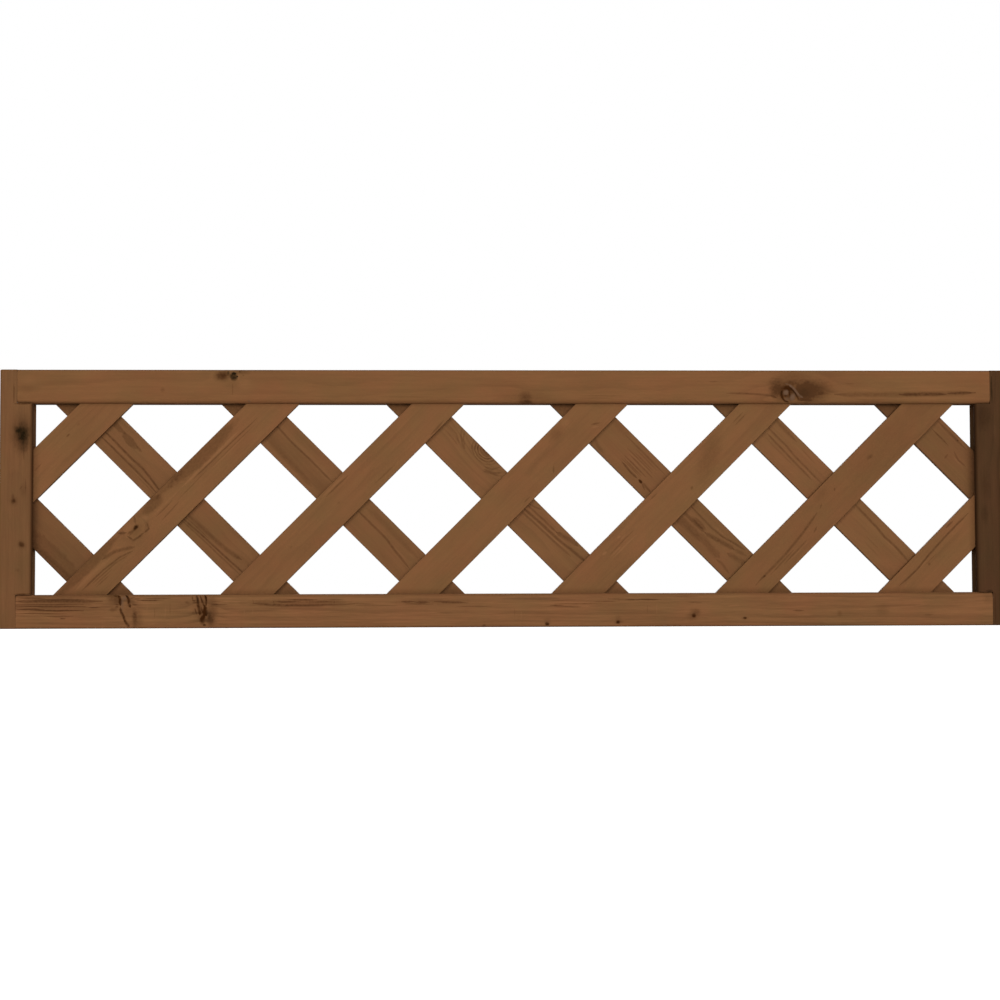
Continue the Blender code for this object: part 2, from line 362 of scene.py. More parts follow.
# %% The staple tree
def plan_staples():
    plan, given = plan_geometry(
        "staples at the crossings",
        {
            "Crossings": "Object",
            "Crown": 0.0106,
            "Leg": 0.0138,
            "Wire": 0.0012,
            "Bend": 0.0016,
            "Spare": 0.0,
            "Back Face": 0.00815,
            "Material": "Material",
        },
    )
    half = (given["Crown"] - given["Wire"]) * 0.5
    foot = (given["Leg"] - given["Wire"] * 0.5 + given["Spare"]) * -1
    corners = [
        plan.combine(half * -1, foot, 0),
        plan.combine(half * -1, 0, 0),
        plan.combine(half, 0, 0),
        plan.combine(half, foot, 0),
    ]
    line = plan.run("GeometryNodeMeshLine", 4)
    corner = plan.pick("corners", "VECTOR", plan.run("GeometryNodeInputIndex"), corners)
    line = plan.run("GeometryNodeSetPosition", line, None, corner)
    path = plan.run("GeometryNodeMeshToCurve", line)
    path = plan.run("GeometryNodeFilletCurve", path, 5, given["Bend"], True, mode="POLY")
    path = plan.run("GeometryNodeSetCurveNormal", path, mode="Z_UP")
    thick = given["Wire"] + given["Spare"] * 2
    square = plan.node("GeometryNodeCurvePrimitiveQuadrilateral", "wire section")
    plan.feed(square.inputs[0], thick)
    plan.feed(square.inputs[1], thick)
    wire_edge = 0.00022
    section = plan.run(
        "GeometryNodeFilletCurve", Wire(plan, square.outputs[0]), 2, wire_edge, True, mode="POLY"
    )
    sweep = plan.node("GeometryNodeCurveToMesh", "bent wire")
    plan.feed(sweep.inputs["Curve"], path)
    plan.feed(sweep.inputs["Profile Curve"], section)
    sweep.inputs["Fill Caps"].default_value = True
    staple = Wire(plan, sweep.outputs[0])
    points = plan.node("GeometryNodeObjectInfo", "crossings")
    plan.feed(points.inputs[0], given["Crossings"])
    spots = plan.run("GeometryNodeMeshToPoints", Wire(plan, points.outputs["Geometry"]))
    depth = given["Back Face"] - given["Wire"] * 0.5
    spots = plan.run("GeometryNodeSetPosition", spots, None, None, plan.combine(0, depth, 0))
    placed = plan.node("GeometryNodeInstanceOnPoints", "one at each crossing")
    plan.feed(placed.inputs["Points"], spots)
    plan.feed(placed.inputs["Instance"], staple)
    return end_geometry(plan, Wire(plan, placed.outputs[0]), given["Material"])


staple_tree = plan_staples()
print(staple_tree.name, len(staple_tree.nodes), "nodes")

# %% Where the slats cross
def middle_line(slat):
    """The slat's middle line in the X-Z plane: a point and a direction."""
    turn = math.radians(slat["turn"])
    x, _, z = slat["place"]
    return np.array([x, z]), np.array([math.cos(turn), -math.sin(turn)])


crossings = []
for front in range(1, 8):
    for back in range(1, 8):
        if f"staple_{front}_{back}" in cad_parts:
            p, d = middle_line(slats[f"front_slat_{front}"])
            q, e = middle_line(slats[f"back_slat_{back}"])
            along = np.linalg.solve(np.array([d, -e]).T, q - p)[0]
            x, z = p + along * d
            crossings.append((x, 0.0, z))
crossing_points = add_mesh("crossings", crossings, [])
print(len(crossings), "crossings with a staple")

# %% [markdown]
# A corner screw is a countersunk one with a cross recess, two at each end of each rail. All eight
# heads stand at the corners of a box, so the tree puts one screw on each corner of a cube that has
# the right size, turns it into the wood, and spins it by a seeded random angle, as no two are
# driven to the same stop. The screw itself is a cylinder of six rings whose radii and heights are
# set ring by ring.

# %% The screw tree
def plan_screws():
    plan, given = plan_geometry(
        "corner screws",
        {
            "Length": 0.045,
            "Shank Radius": 0.002,
            "Head Radius": 0.004,
            "Head Height": 0.0028,
            "Tip": 0.005,
            "Spare": 0.0,
            "Above": 0.0,
            "Recess": 0.0046,
            "Box": (1.1988, 0.014, 0.285),
            "Box Middle": (0.0, 0.0, 0.153),
            "Seed": 5,
            "Material": "Material",
        },
    )
    sides = plan.node("GeometryNodeMeshCylinder", "six rings", fill_type="TRIANGLE_FAN")
    sides.inputs["Vertices"].default_value = 32
    sides.inputs["Side Segments"].default_value = 5
    sides.inputs["Fill Segments"].default_value = 1
    sides.inputs["Radius"].default_value = 1.0
    sides.inputs["Depth"].default_value = 5.0
    rim_width = 0.0003
    rim_depth = 0.00025
    head_edge = 0.0005
    slot_width = 0.00085
    slot_depth = 0.0026
    slot_drop = 0.0003
    spare = given["Spare"]
    x, y, z = plan.separate(plan.run("GeometryNodeInputPosition"))
    ring = plan.math("ROUND", z * -1 + 2.5)
    radii = [
        given["Head Radius"] - rim_width + spare,
        given["Head Radius"] + spare,
        given["Head Radius"] + spare,
        given["Shank Radius"] + spare,
        given["Shank Radius"] + spare,
        given["Shank Radius"] * 0.06 + spare,
    ]
    heights = [
        spare + given["Above"],
        spare + given["Above"] - rim_depth,
        -head_edge,
        given["Head Height"] * -1,
        given["Tip"] - given["Length"],
        given["Length"] * -1 - spare,
    ]
    radius = plan.pick("ring radius", "FLOAT", ring, radii)
    height = plan.pick("ring height", "FLOAT", ring, heights)
    body = plan.run(
        "GeometryNodeSetPosition",
        Wire(plan, sides.outputs["Mesh"]),
        None,
        plan.combine(x * radius, y * radius, height),
    )
    blades = plan.node("GeometryNodeJoinGeometry", "cross recess")
    for turn in (0.0, math.pi / 2):
        size = plan.combine(given["Recess"], slot_width, slot_depth)
        blade = plan.run("GeometryNodeMeshCube", size, 2, 2, 2)
        bx, by, bz = plan.separate(plan.run("GeometryNodeInputPosition"))
        taper = plan.ramp(bz, -slot_depth / 2, slot_depth / 2, 0.45, 1.0)
        blade = plan.run(
            "GeometryNodeSetPosition", blade, None, plan.combine(bx * taper, by * taper, bz)
        )
        blade = plan.run("GeometryNodeTransform", blade, (0, 0, -slot_drop), (0, 0, turn))
        plan.tree.links.new(blade.socket, blades.inputs[0])
    slotted = plan.subtract("cut the recess", body, Wire(plan, blades.outputs[0]), True)
    choose = plan.node("GeometryNodeSwitch", "cutters have no recess", input_type="GEOMETRY")
    plan.feed(choose.inputs[0], plan.math("GREATER_THAN", given["Recess"], 0.0))
    plan.feed(choose.inputs[1], body)
    plan.feed(choose.inputs[2], slotted)
    box = plan.run("GeometryNodeMeshCube", given["Box"], 2, 2, 2)
    box = plan.run("GeometryNodeTransform", box, given["Box Middle"])
    points = plan.run("GeometryNodeMeshToPoints", box)
    px, _, _ = plan.separate(plan.run("GeometryNodeInputPosition"))
    outward = plan.combine(plan.math("SIGN", px), 0, 0)
    align = plan.node("FunctionNodeAlignRotationToVector", "head outwards", axis="Z")
    plan.feed(align.inputs["Vector"], outward)
    spin = plan.node("FunctionNodeRandomValue", "driven to any stop", data_type="FLOAT")
    spin.inputs[2].default_value = 0.0
    spin.inputs[3].default_value = 3.14
    plan.feed(spin.inputs["Seed"], given["Seed"])
    around = plan.run("FunctionNodeAxisAngleToRotation", (0, 0, 1), Wire(plan, spin.outputs[1]))
    turned = plan.node("FunctionNodeRotateRotation", "spin", rotation_space="LOCAL")
    plan.feed(turned.inputs[0], Wire(plan, align.outputs[0]))
    plan.feed(turned.inputs[1], around)
    placed = plan.node("GeometryNodeInstanceOnPoints", "one at each corner")
    plan.feed(placed.inputs["Points"], points)
    plan.feed(placed.inputs["Instance"], Wire(plan, choose.outputs[0]))
    plan.feed(placed.inputs["Rotation"], Wire(plan, turned.outputs[0]))
    return end_geometry(plan, Wire(plan, placed.outputs[0]), given["Material"])


screw_tree = plan_screws()
print(screw_tree.name, len(screw_tree.nodes), "nodes")

# %% [markdown]
# ## Cutters
#
# The beds and holes for the fasteners are cut with the same trees, grown by 0.3 mm. A screw's hole
# reaches out past the wood, so that its sunk head stays open to view. Two plain blocks, a hair
# larger than the rails, cut the notches of the stiles, in which the rails' ends lie. Cutters are
# helpers: they are removed when the boards are done.

# %% Make the cutters
staple_cutter = grow("staple_cutter", staple_tree, crossings=crossing_points, spare=0.0003)
screw_cutter = grow("screw_cutter", screw_tree, spare=0.0003, above=0.002, recess=0.0)
box_faces = (
    (0, 2, 3, 1), (4, 5, 7, 6), (0, 1, 5, 4), (2, 6, 7, 3), (0, 4, 6, 2), (1, 3, 7, 5)
)


def block(name, boxes):
    """Plain boxes in one mesh, for cutting."""
    points, faces = [], []
    for low, high in boxes:
        n = len(points)
        for k in range(8):
            points.append(tuple((high if k >> a & 1 else low)[a] for a in range(3)))
        faces += [[n + k for k in face] for face in box_faces]
    return add_mesh(name, points, faces)


def joined(name, *objects):
    """The meshes of several cutters in one object."""
    points, faces = [], []
    for o in objects:
        n = len(points)
        points += [tuple(v.co) for v in o.data.vertices]
        faces += [[n + k for k in p.vertices] for p in o.data.polygons]
    return add_mesh(name, points, faces)


lap = half_length - neck
press = 0.00002
beyond = 0.05
notch_top = rail_face - press
notch_foot = panel_height - rail_face + press
notches = block(
    "notches",
    [
        ((-lap, -beyond, -beyond), (lap, beyond, notch_top)),
        ((-lap, -beyond, notch_foot), (lap, beyond, panel_height + beyond)),
    ],
)
stile_cutter = joined("stile_cutter", notches, screw_cutter)
print("notches reach", round(lap, 4), "from the middle")

# %% [markdown]
# ## The grooved boards
#
# Rails and stiles are the same kind of stick: planed square, its arrises taken off, one edge
# ploughed with a groove. Its section never changes, so it is a closed outline swept along a line.
# The outline has eight corners, each rounded by its own radius, and long sides are divided so that
# the faces can be a little uneven. Then the ends are eased, the board is turned into its place, and
# the cutters are taken out of it.

# %% Helpers for the boards
def spread(plan, share, half, edge, edge_share):
    """Place -1..1 over -half..half, with more of the rows in the last bit at each end."""
    size = plan.math("ABSOLUTE", share)
    knee = 1 - edge_share
    inner = plan.ramp(size, 0.0, knee, 0.0, half - edge)
    outer = plan.ramp(size, knee, 1.0, 0.0, edge)
    return (inner + outer) * plan.math("SIGN", share)


def turned_in_place(plan, geometry, given):
    """Turn a board about Y and move it to its place."""
    angle = plan.math("RADIANS", given["Turn"])
    rotation = plan.run("FunctionNodeEulerToRotation", plan.combine(0, angle, 0))
    return plan.run("GeometryNodeTransform", geometry, given["Place"], rotation)


def cut_away(plan, geometry, cutter, overlaps):
    """Take a cutter object's shape out of a board."""
    info = plan.node("GeometryNodeObjectInfo", "cutter")
    plan.feed(info.inputs[0], cutter)
    return plan.subtract("cut", geometry, Wire(plan, info.outputs["Geometry"]), overlaps)


# %% The tree of a grooved board
def plan_grooved_board():
    plan, given = plan_geometry(
        "grooved board",
        {
            "Length": 1.0,
            "Face": 0.04,
            "Depth": 0.03,
            "Groove Width": 0.0169,
            "Groove Depth": 0.019,
            "Arris": 0.003,
            "Inner Arris": 0.006,
            "Lip Arris": 0.0006,
            "End Arris": 0.001,
            "Neck": 0.04,
            "Step": 0.003,
            "Stations": 280,
            "Wear": 0.00012,
            "Seed": 1,
            "Place": (0.0, 0.0, 0.0),
            "Turn": 0.0,
            "Cutter": "Object",
            "Material": "Material",
        },
    )
    face = given["Face"] * 0.5
    depth = given["Depth"] * 0.5
    lip = given["Groove Width"] * 0.5
    bed = given["Groove Depth"] - face
    corners = [
        (face, depth * -1, given["Arris"]),
        (face, depth, given["Arris"]),
        (face * -1, depth, given["Inner Arris"]),
        (face * -1, lip, given["Lip Arris"]),
        (bed, lip, given["Lip Arris"] * 0.5),
        (bed, lip * -1, given["Lip Arris"] * 0.5),
        (face * -1, lip * -1, given["Lip Arris"]),
        (face * -1, depth * -1, given["Inner Arris"]),
    ]
    index = plan.run("GeometryNodeInputIndex")
    places = [plan.combine(a, b, 0) for a, b, _ in corners]
    place = plan.pick("section corners", "VECTOR", index, places)
    radius = plan.pick("corner radii", "FLOAT", index, [radius for _, _, radius in corners])
    line = plan.run("GeometryNodeMeshLine", len(corners))
    line = plan.run("GeometryNodeSetPosition", line, None, place)
    keep = plan.node(
        "GeometryNodeStoreNamedAttribute", "keep radii", data_type="FLOAT", domain="POINT"
    )
    plan.feed(keep.inputs["Geometry"], line)
    keep.inputs["Name"].default_value = "radius_here"
    plan.feed([s for s in keep.inputs if s.enabled][-1], radius)
    section = plan.run("GeometryNodeMeshToCurve", Wire(plan, keep.outputs[0]))
    section = plan.run("GeometryNodeSetSplineCyclic", section, None, True)
    kept = plan.node("GeometryNodeInputNamedAttribute", "radii", data_type="FLOAT")
    kept.inputs[0].default_value = "radius_here"
    section = plan.run(
        "GeometryNodeFilletCurve", section, 4, Wire(plan, kept.outputs[0]), True, mode="POLY"
    )
    here = plan.run("GeometryNodeInputPosition")
    count = plan.node("GeometryNodeAttributeDomainSize", "points", component="CURVE")
    plan.feed(count.inputs[0], section)
    after = plan.math("MODULO", index + 1, Wire(plan, count.outputs["Point Count"]))
    beside = plan.node(
        "GeometryNodeFieldAtIndex", "next point", domain="POINT", data_type="FLOAT_VECTOR"
    )
    plan.feed([s for s in beside.inputs if s.enabled][0], here)
    plan.feed(beside.inputs["Index"], after)
    stretch = plan.vector("DISTANCE", here, Wire(plan, [s for s in beside.outputs if s.enabled][0]))
    cuts = plan.math("FLOOR", stretch / given["Step"])
    section = plan.run("GeometryNodeSubdivideCurve", section, cuts)
    run = plan.run("GeometryNodeMeshLine", given["Stations"])
    share = index / (given["Stations"] - 1) * 2 - 1
    edge_share = 10.0 / given["Stations"]
    station = spread(plan, share, given["Length"] * 0.5, given["End Arris"] * 1.5, edge_share)
    run = plan.run("GeometryNodeSetPosition", run, None, plan.combine(0, 0, station))
    run = plan.run("GeometryNodeMeshToCurve", run)
    sweep = plan.node("GeometryNodeCurveToMesh", "plane the stick")
    plan.feed(sweep.inputs["Curve"], run)
    plan.feed(sweep.inputs["Profile Curve"], section)
    sweep.inputs["Fill Caps"].default_value = True
    stick = plan.run(
        "GeometryNodeTransform", Wire(plan, sweep.outputs[0]), (0, 0, 0), (0, math.pi / 2, 0)
    )
    x, y, z = plan.separate(plan.run("GeometryNodeInputPosition"))
    seed = given["Seed"] * 3.7
    wave = plan.noise(plan.combine(x * 9 + seed, y * 40, z * 40 + seed), 2.0)
    nick = plan.noise(plan.combine(x * 120 + seed, y * 300, z * 300), 1.0)
    sunk = (wave * 0.7 + nick * 0.3) * given["Wear"] * -1
    normal = plan.run("GeometryNodeInputNormal")
    stick = plan.run(
        "GeometryNodeSetPosition", stick, None, None, plan.vector("SCALE", normal, sunk)
    )
    x, y, z = plan.separate(plan.run("GeometryNodeInputPosition"))
    reach = given["End Arris"]
    past = plan.ramp(
        given["Length"] * 0.5 - plan.math("ABSOLUTE", x), 0.0, reach, reach, 0.0
    )
    inset = reach - plan.math("SQRT", plan.math("MAXIMUM", reach * reach - past * past, 0.0))
    middle = given["Neck"] * 0.5 - face
    squeeze_z = 1 - inset / (given["Neck"] * 0.5)
    squeeze_y = 1 - inset / depth
    stick = plan.run(
        "GeometryNodeSetPosition",
        stick,
        None,
        plan.combine(x, y * squeeze_y, (z - middle) * squeeze_z + middle),
    )
    stick = turned_in_place(plan, stick, given)
    stick = cut_away(plan, stick, given["Cutter"], overlaps=True)
    return end_geometry(plan, stick, given["Material"])


board_tree = plan_grooved_board()
print(board_tree.name, len(board_tree.nodes), "nodes")

# %% [markdown]
# ## The slats
#
# A slat is a thin sawn strip, 8 mm thick, with both ends cut at 45 degrees. The tree starts from a
# cube that is divided into a grid. Every point of it is moved: more rows go to the long edges, the
# edges are rounded by pushing each corner square onto a circle, the ends are slanted, and a little
# noise makes the faces uneven. It only ever pushes inwards, so the two layers never touch.

# %% The tree of a slat
def plan_slat():
    plan, given = plan_geometry(
        "slat",
        {
            "Width": 0.045,
            "Thickness": 0.008,
            "Arris": 0.0009,
            "Start": -0.18,
            "Start Slope": -1.0,
            "End": 0.18,
            "End Slope": -1.0,
            "Steps Along": 110,
            "Steps Across": 30,
            "Steps Through": 9,
            "Wear": 0.00015,
            "Seed": 1,
            "Place": (0.0, 0.0, 0.0),
            "Turn": 0.0,
            "Cutter": "Object",
            "Material": "Material",
        },
    )
    cube = plan.run(
        "GeometryNodeMeshCube",
        (2.0, 2.0, 2.0),
        given["Steps Along"],
        given["Steps Through"],
        given["Steps Across"],
    )
    x, y, z = plan.separate(plan.run("GeometryNodeInputPosition"))
    half_width = given["Width"] * 0.5
    half_thick = given["Thickness"] * 0.5
    edge = given["Arris"] * 1.2
    across = spread(plan, z, half_width, edge, 6.0 / given["Steps Across"])
    through = spread(plan, y, half_thick, edge, 4.0 / given["Steps Through"])
    seed = given["Seed"] * 5.3
    rub = plan.noise(plan.combine(x * 14 + seed, z, y), 3.0)
    radius = given["Arris"] * (rub * 0.9 + 0.55)
    safe_across = plan.math(
        "MINIMUM", plan.math("MAXIMUM", across, radius - half_width), half_width - radius
    )
    safe_through = plan.math(
        "MINIMUM", plan.math("MAXIMUM", through, radius - half_thick), half_thick - radius
    )
    over_across = across - safe_across
    over_through = through - safe_through
    square = plan.math(
        "MAXIMUM", plan.math("ABSOLUTE", over_across), plan.math("ABSOLUTE", over_through)
    )
    circle = plan.math("SQRT", over_across * over_across + over_through * over_through)
    shrink = square / plan.math("MAXIMUM", circle, 0.0000001)
    across = safe_across + over_across * shrink
    through = safe_through + over_through * shrink
    start = given["Start"] + given["Start Slope"] * across
    end = given["End"] + given["End Slope"] * across
    along = start + (end - start) * (x * 0.5 + 0.5)
    wave = plan.noise(plan.combine(along * 12 + seed, through * 30, across * 50), 2.0)
    nick = plan.noise(plan.combine(along * 150 + seed, through * 300, across * 300), 1.0)
    sunk = 1 - (wave * 0.7 + nick * 0.3) * given["Wear"] / half_thick
    drawn = 1 - (wave * 0.4 + nick * 0.6) * given["Wear"] * 1.5 / half_width
    slat = plan.run(
        "GeometryNodeSetPosition",
        cube,
        None,
        plan.combine(along, through * sunk, across * drawn),
    )
    slat = turned_in_place(plan, slat, given)
    slat = cut_away(plan, slat, given["Cutter"], overlaps=False)
    return end_geometry(plan, slat, given["Material"])


slat_tree = plan_slat()
print(slat_tree.name, len(slat_tree.nodes), "nodes")

# %% [markdown]
# ## Wood
#
# Brown-stained pine is a solid pattern: growth rings round the pith of the tree, cut by each face
# of the board. So the material is worked out in the board's own coordinates, in metres, and every
# face, edge and end shows the same rings. Knots swell the rings round them. The rings and the kinds
# of marks are node groups, which the materials of all the boards share.

# %% Groups for the wood
def plan_group(name, inputs, outputs):
    """A shader node group with named inputs and outputs."""
    tree = bpy.data.node_groups.new(name, "ShaderNodeTree")
    for title, value in inputs.items():
        kind = "NodeSocketVector" if isinstance(value, tuple) else "NodeSocketFloat"
        socket = tree.interface.new_socket(name=title, in_out="INPUT", socket_type=kind)
        socket.default_value = value
    for title in outputs:
        tree.interface.new_socket(name=title, in_out="OUTPUT", socket_type="NodeSocketFloat")
    plan = Plan(tree)
    start = plan.node("NodeGroupInput")
    return plan, {s.name: Wire(plan, s) for s in start.outputs if s.name}


def end_group(plan, results):
    last = plan.node("NodeGroupOutput")
    for socket, wire in zip(last.inputs, results):
        plan.feed(socket, wire)
    return plan.tree


def plan_swell():
    """How far a knot pushes the growth rings round it aside."""
    plan, given = plan_group(
        "swell",
        {
            "Spot": (0.0, 0.0, 0.0),
            "Along": 0.0,
            "Across": 0.0,
            "Half Length": 0.005,
            "Half Width": 0.004,
        },
        ["Swell"],
    )
    x, _, z = plan.separate(given["Spot"])
    along = (x - given["Along"]) / given["Half Length"]
    across = (z - given["Across"]) / given["Half Width"]
    far = along * along * 0.3 + across * across * 0.6
    return end_group(plan, [plan.math("EXPONENT", far * -0.35)])


def plan_line():
    """A soft line between two places: a crack, a dark ring or a streak. Its ends can taper."""
    plan, given = plan_group(
        "line",
        {
            "Spot": (0.0, 0.0, 0.0),
            "Start": (0.0, 0.0, 0.0),
            "End": (0.1, 0.0, 0.0),
            "Half Width": 0.001,
            "Start Taper": 0.0,
            "End Taper": 0.0,
        },
        ["Mask"],
    )
    away = plan.vector("SUBTRACT", given["Spot"], given["Start"])
    span = plan.vector("SUBTRACT", given["End"], given["Start"])
    share = plan.vector("DOT_PRODUCT", away, span) / plan.vector("DOT_PRODUCT", span, span)
    held = plan.math("MAXIMUM", plan.math("MINIMUM", share, 1.0), 0.0)
    miss = plan.vector("LENGTH", plan.vector("SUBTRACT", away, plan.vector("SCALE", span, held)))
    thin = (
        1
        - given["Start Taper"] * plan.ramp(held, 0.0, 0.35, 0.7, 0.0, soft=True)
        - given["End Taper"] * plan.ramp(held, 0.65, 1.0, 0.0, 0.7, soft=True)
    )
    return end_group(plan, [plan.ramp(miss / (given["Half Width"] * thin), 1.35, 0.2, soft=True)])


def plan_spot():
    """A tilted oval with a frayed edge: the heart of a knot, a dot, a flame or a halo."""
    plan, given = plan_group(
        "spot",
        {
            "Spot": (0.0, 0.0, 0.0),
            "Along": 0.0,
            "Across": 0.0,
            "Half Length": 0.02,
            "Half Width": 0.006,
            "Tilt": 0.0,
            "Edge": 0.5,
            "Fray": 0.0,
        },
        ["Mask"],
    )
    x, _, z = plan.separate(given["Spot"])
    x = x - given["Along"]
    z = z - given["Across"]
    cosine = plan.math("COSINE", given["Tilt"])
    sine = plan.math("SINE", given["Tilt"])
    along = (x * cosine + z * sine) / given["Half Length"]
    across = (z * cosine - x * sine) / given["Half Width"]
    away = plan.math("SQRT", along * along + across * across) + given["Fray"] * 0.7
    edge = given["Edge"]
    return end_group(plan, [plan.ramp(away, 1.05 + edge * 0.6, 0.95 - edge * 0.95, soft=True)])


def plan_eye():
    """Fine rings round a place, between two distances from it."""
    plan, given = plan_group(
        "eye",
        {
            "Spot": (0.0, 0.0, 0.0),
            "Along": 0.0,
            "Across": 0.0,
            "Stretch": 1.3,
            "Spacing": 0.003,
            "Inner": 0.004,
            "Outer": 0.03,
            "Fray": 0.0,
        },
        ["Mask"],
    )
    x, _, z = plan.separate(given["Spot"])
    along = (x - given["Along"]) / given["Stretch"]
    across = z - given["Across"]
    away = plan.math("SQRT", along * along + across * across)
    part = plan.math("FRACT", away / given["Spacing"] + given["Fray"] * 0.9)
    ring = plan.ramp(part, 0.25, 0.7, soft=True) * plan.ramp(part, 1.0, 0.75, soft=True)
    inside = plan.ramp(away, given["Inner"] * 0.7, given["Inner"])
    outside = plan.ramp(away, given["Outer"], given["Outer"] * 0.55)
    return end_group(plan, [ring * inside * outside])


def plan_rings():
    """Growth rings: late wood from 0 to 1, from the distance to the pith."""
    plan, given = plan_group(
        "rings",
        {
            "Grain": (0.0, 0.0, 0.0),
            "Pith Through": 0.05,
            "Pith Across": 0.01,
            "Pith Lean": 0.02,
            "Ring Width": 0.003,
            "Swell": 0.0,
            "Waviness": 0.004,
            "Seed": 0.0,
        },
        ["Late Wood"],
    )
    x, y, z = plan.separate(given["Grain"])
    seed = given["Seed"]
    bend = plan.noise(plan.combine(x * 5 + seed, y * 8, z * 8), 3.0) - 0.5
    ripple = plan.noise(plan.combine(x * 28 + seed, y * 60, z * 60), 2.0) - 0.5
    shift = (bend * 2.0 + ripple * 0.35) * given["Waviness"]
    through = y - given["Pith Through"] + x * given["Pith Lean"]
    across = z - given["Pith Across"]
    distance = plan.math("SQRT", through * through + across * across) + shift
    phase = distance / given["Ring Width"] + given["Swell"]
    uneven = plan.noise(plan.combine(phase * 0.37 + seed, 0, 0), 1.0) - 0.5
    part = plan.math("FRACT", phase + uneven * 1.4)
    late = plan.ramp(part, 0.35, 0.9, soft=True) * plan.ramp(part, 1.0, 0.9, soft=True)
    return end_group(plan, [late])


swell_group = plan_swell()
line_group = plan_line()
spot_group = plan_spot()
eye_group = plan_eye()
rings_group = plan_rings()
print("groups", [g.name for g in (swell_group, line_group, spot_group, eye_group, rings_group)])

# %% [markdown]
# A mark is pale or dark, which changes the board's own tone, or it has a colour of its own: umber,
# black or grey. Where a slat meets the frame, painted shade darkens it: the shade that falls in
# those corners. For each layer of slats this painted corner shade has a share and a reach in metres,
# at the bottom rail, at the top rail and at the stiles.

# %% Stained wood
tone_factors = {
    "pale": (1.36, 1.36, 1.38),
    "dark": (0.42, 0.38, 0.34),
}
stain_colours = {
    "umber": (0.0420, 0.0125, 0.0020),
    "black": (0.0130, 0.0072, 0.0018),
    "grey": (0.1470, 0.0810, 0.0470),
}
corner_shade = {
    "front": ((0.4, 0.008), (0.25, 0.005), (0.45, 0.009)),
    "back": ((0.5, 0.016), (0.75, 0.02), (0.45, 0.012)),
}
frame_front = -0.015
slat_front = -0.004


def new_material(name):
    """An empty material, and the plan of its nodes."""
    material = bpy.data.materials.new(name)
    material.use_nodes = True
    material.node_tree.nodes.clear()
    return material, Plan(material.node_tree)


def end_material(plan, shader):
    """Make a shader the surface of the material."""
    last = plan.node("ShaderNodeOutputMaterial")
    plan.tree.links.new(shader.outputs[0], last.inputs["Surface"])


def times(colour, factors):
    """A colour with each channel multiplied by its own factor."""
    return tuple(c * f for c, f in zip(colour, factors))


def use_group(plan, group, **values):
    """Add a group to a material and feed its inputs by name."""
    new = plan.node("ShaderNodeGroup", group.name)
    new.node_tree = group
    for title, value in values.items():
        plan.feed(new.inputs[title.replace("_", " ").title()], value)
    return {s.name: Wire(plan, s) for s in new.outputs}


def mix_colour(plan, share, a, b, blend="MIX"):
    """Mix two colours; share 0 gives the first."""
    new = plan.node("ShaderNodeMix", data_type="RGBA", blend_type=blend, clamp_factor=True)
    plan.feed(new.inputs[0], share)
    for socket, value in ((new.inputs[6], a), (new.inputs[7], b)):
        plan.feed(socket, value if isinstance(value, Wire) else (*value, 1.0))
    return Wire(plan, new.outputs[2])


def metres(sizes):
    """Sizes in millimetres, given back in metres."""
    return [size / 1000 for size in sizes]


def marks_of(plan, spot, fray, look):
    """The marks drawn on a board: how much of each kind of stain there is at a spot."""
    amounts = {kind: 0.0 for kind in (*tone_factors, *stain_colours)}
    patchy = plan.ramp(fray, -0.22, 0.05, 0.6, 1.0)
    for kind, half_width, strength, *points in look.get("lines", []):
        last = len(points) - 2
        points = [(x / 1000, 0, z / 1000) for x, z in points]
        for number, (start, end) in enumerate(zip(points, points[1:])):
            mark = use_group(
                plan,
                line_group,
                spot=spot,
                start=start,
                end=end,
                half_width=half_width / 1000 * look.get("soft", 1.0),
                start_taper=1.0 if number == 0 else 0.0,
                end_taper=1.0 if number == last else 0.0,
            )
            if number == 0:
                whole = mark["Mask"]
            else:
                whole = plan.math("MAXIMUM", whole, mark["Mask"])
        amounts[kind] = amounts[kind] + whole * patchy * strength
    for kind, *sizes, tilt, edge, strength in look.get("spots", []):
        along, across, half_length, half_width = metres(sizes)
        mark = use_group(
            plan,
            spot_group,
            spot=spot,
            along=along,
            across=across,
            half_length=half_length,
            half_width=half_width,
            tilt=math.radians(tilt),
            edge=edge,
            fray=fray,
        )
        amounts[kind] = amounts[kind] + mark["Mask"] * strength
    for along, across, stretch, spacing, inner, outer, strength in look.get("eyes", []):
        mark = use_group(
            plan,
            eye_group,
            spot=spot,
            along=along / 1000,
            across=across / 1000,
            stretch=stretch,
            spacing=spacing / 1000,
            inner=inner / 1000,
            outer=outer / 1000,
            fray=fray,
        )
        amounts["dark"] = amounts["dark"] + mark["Mask"] * patchy * strength
    return amounts


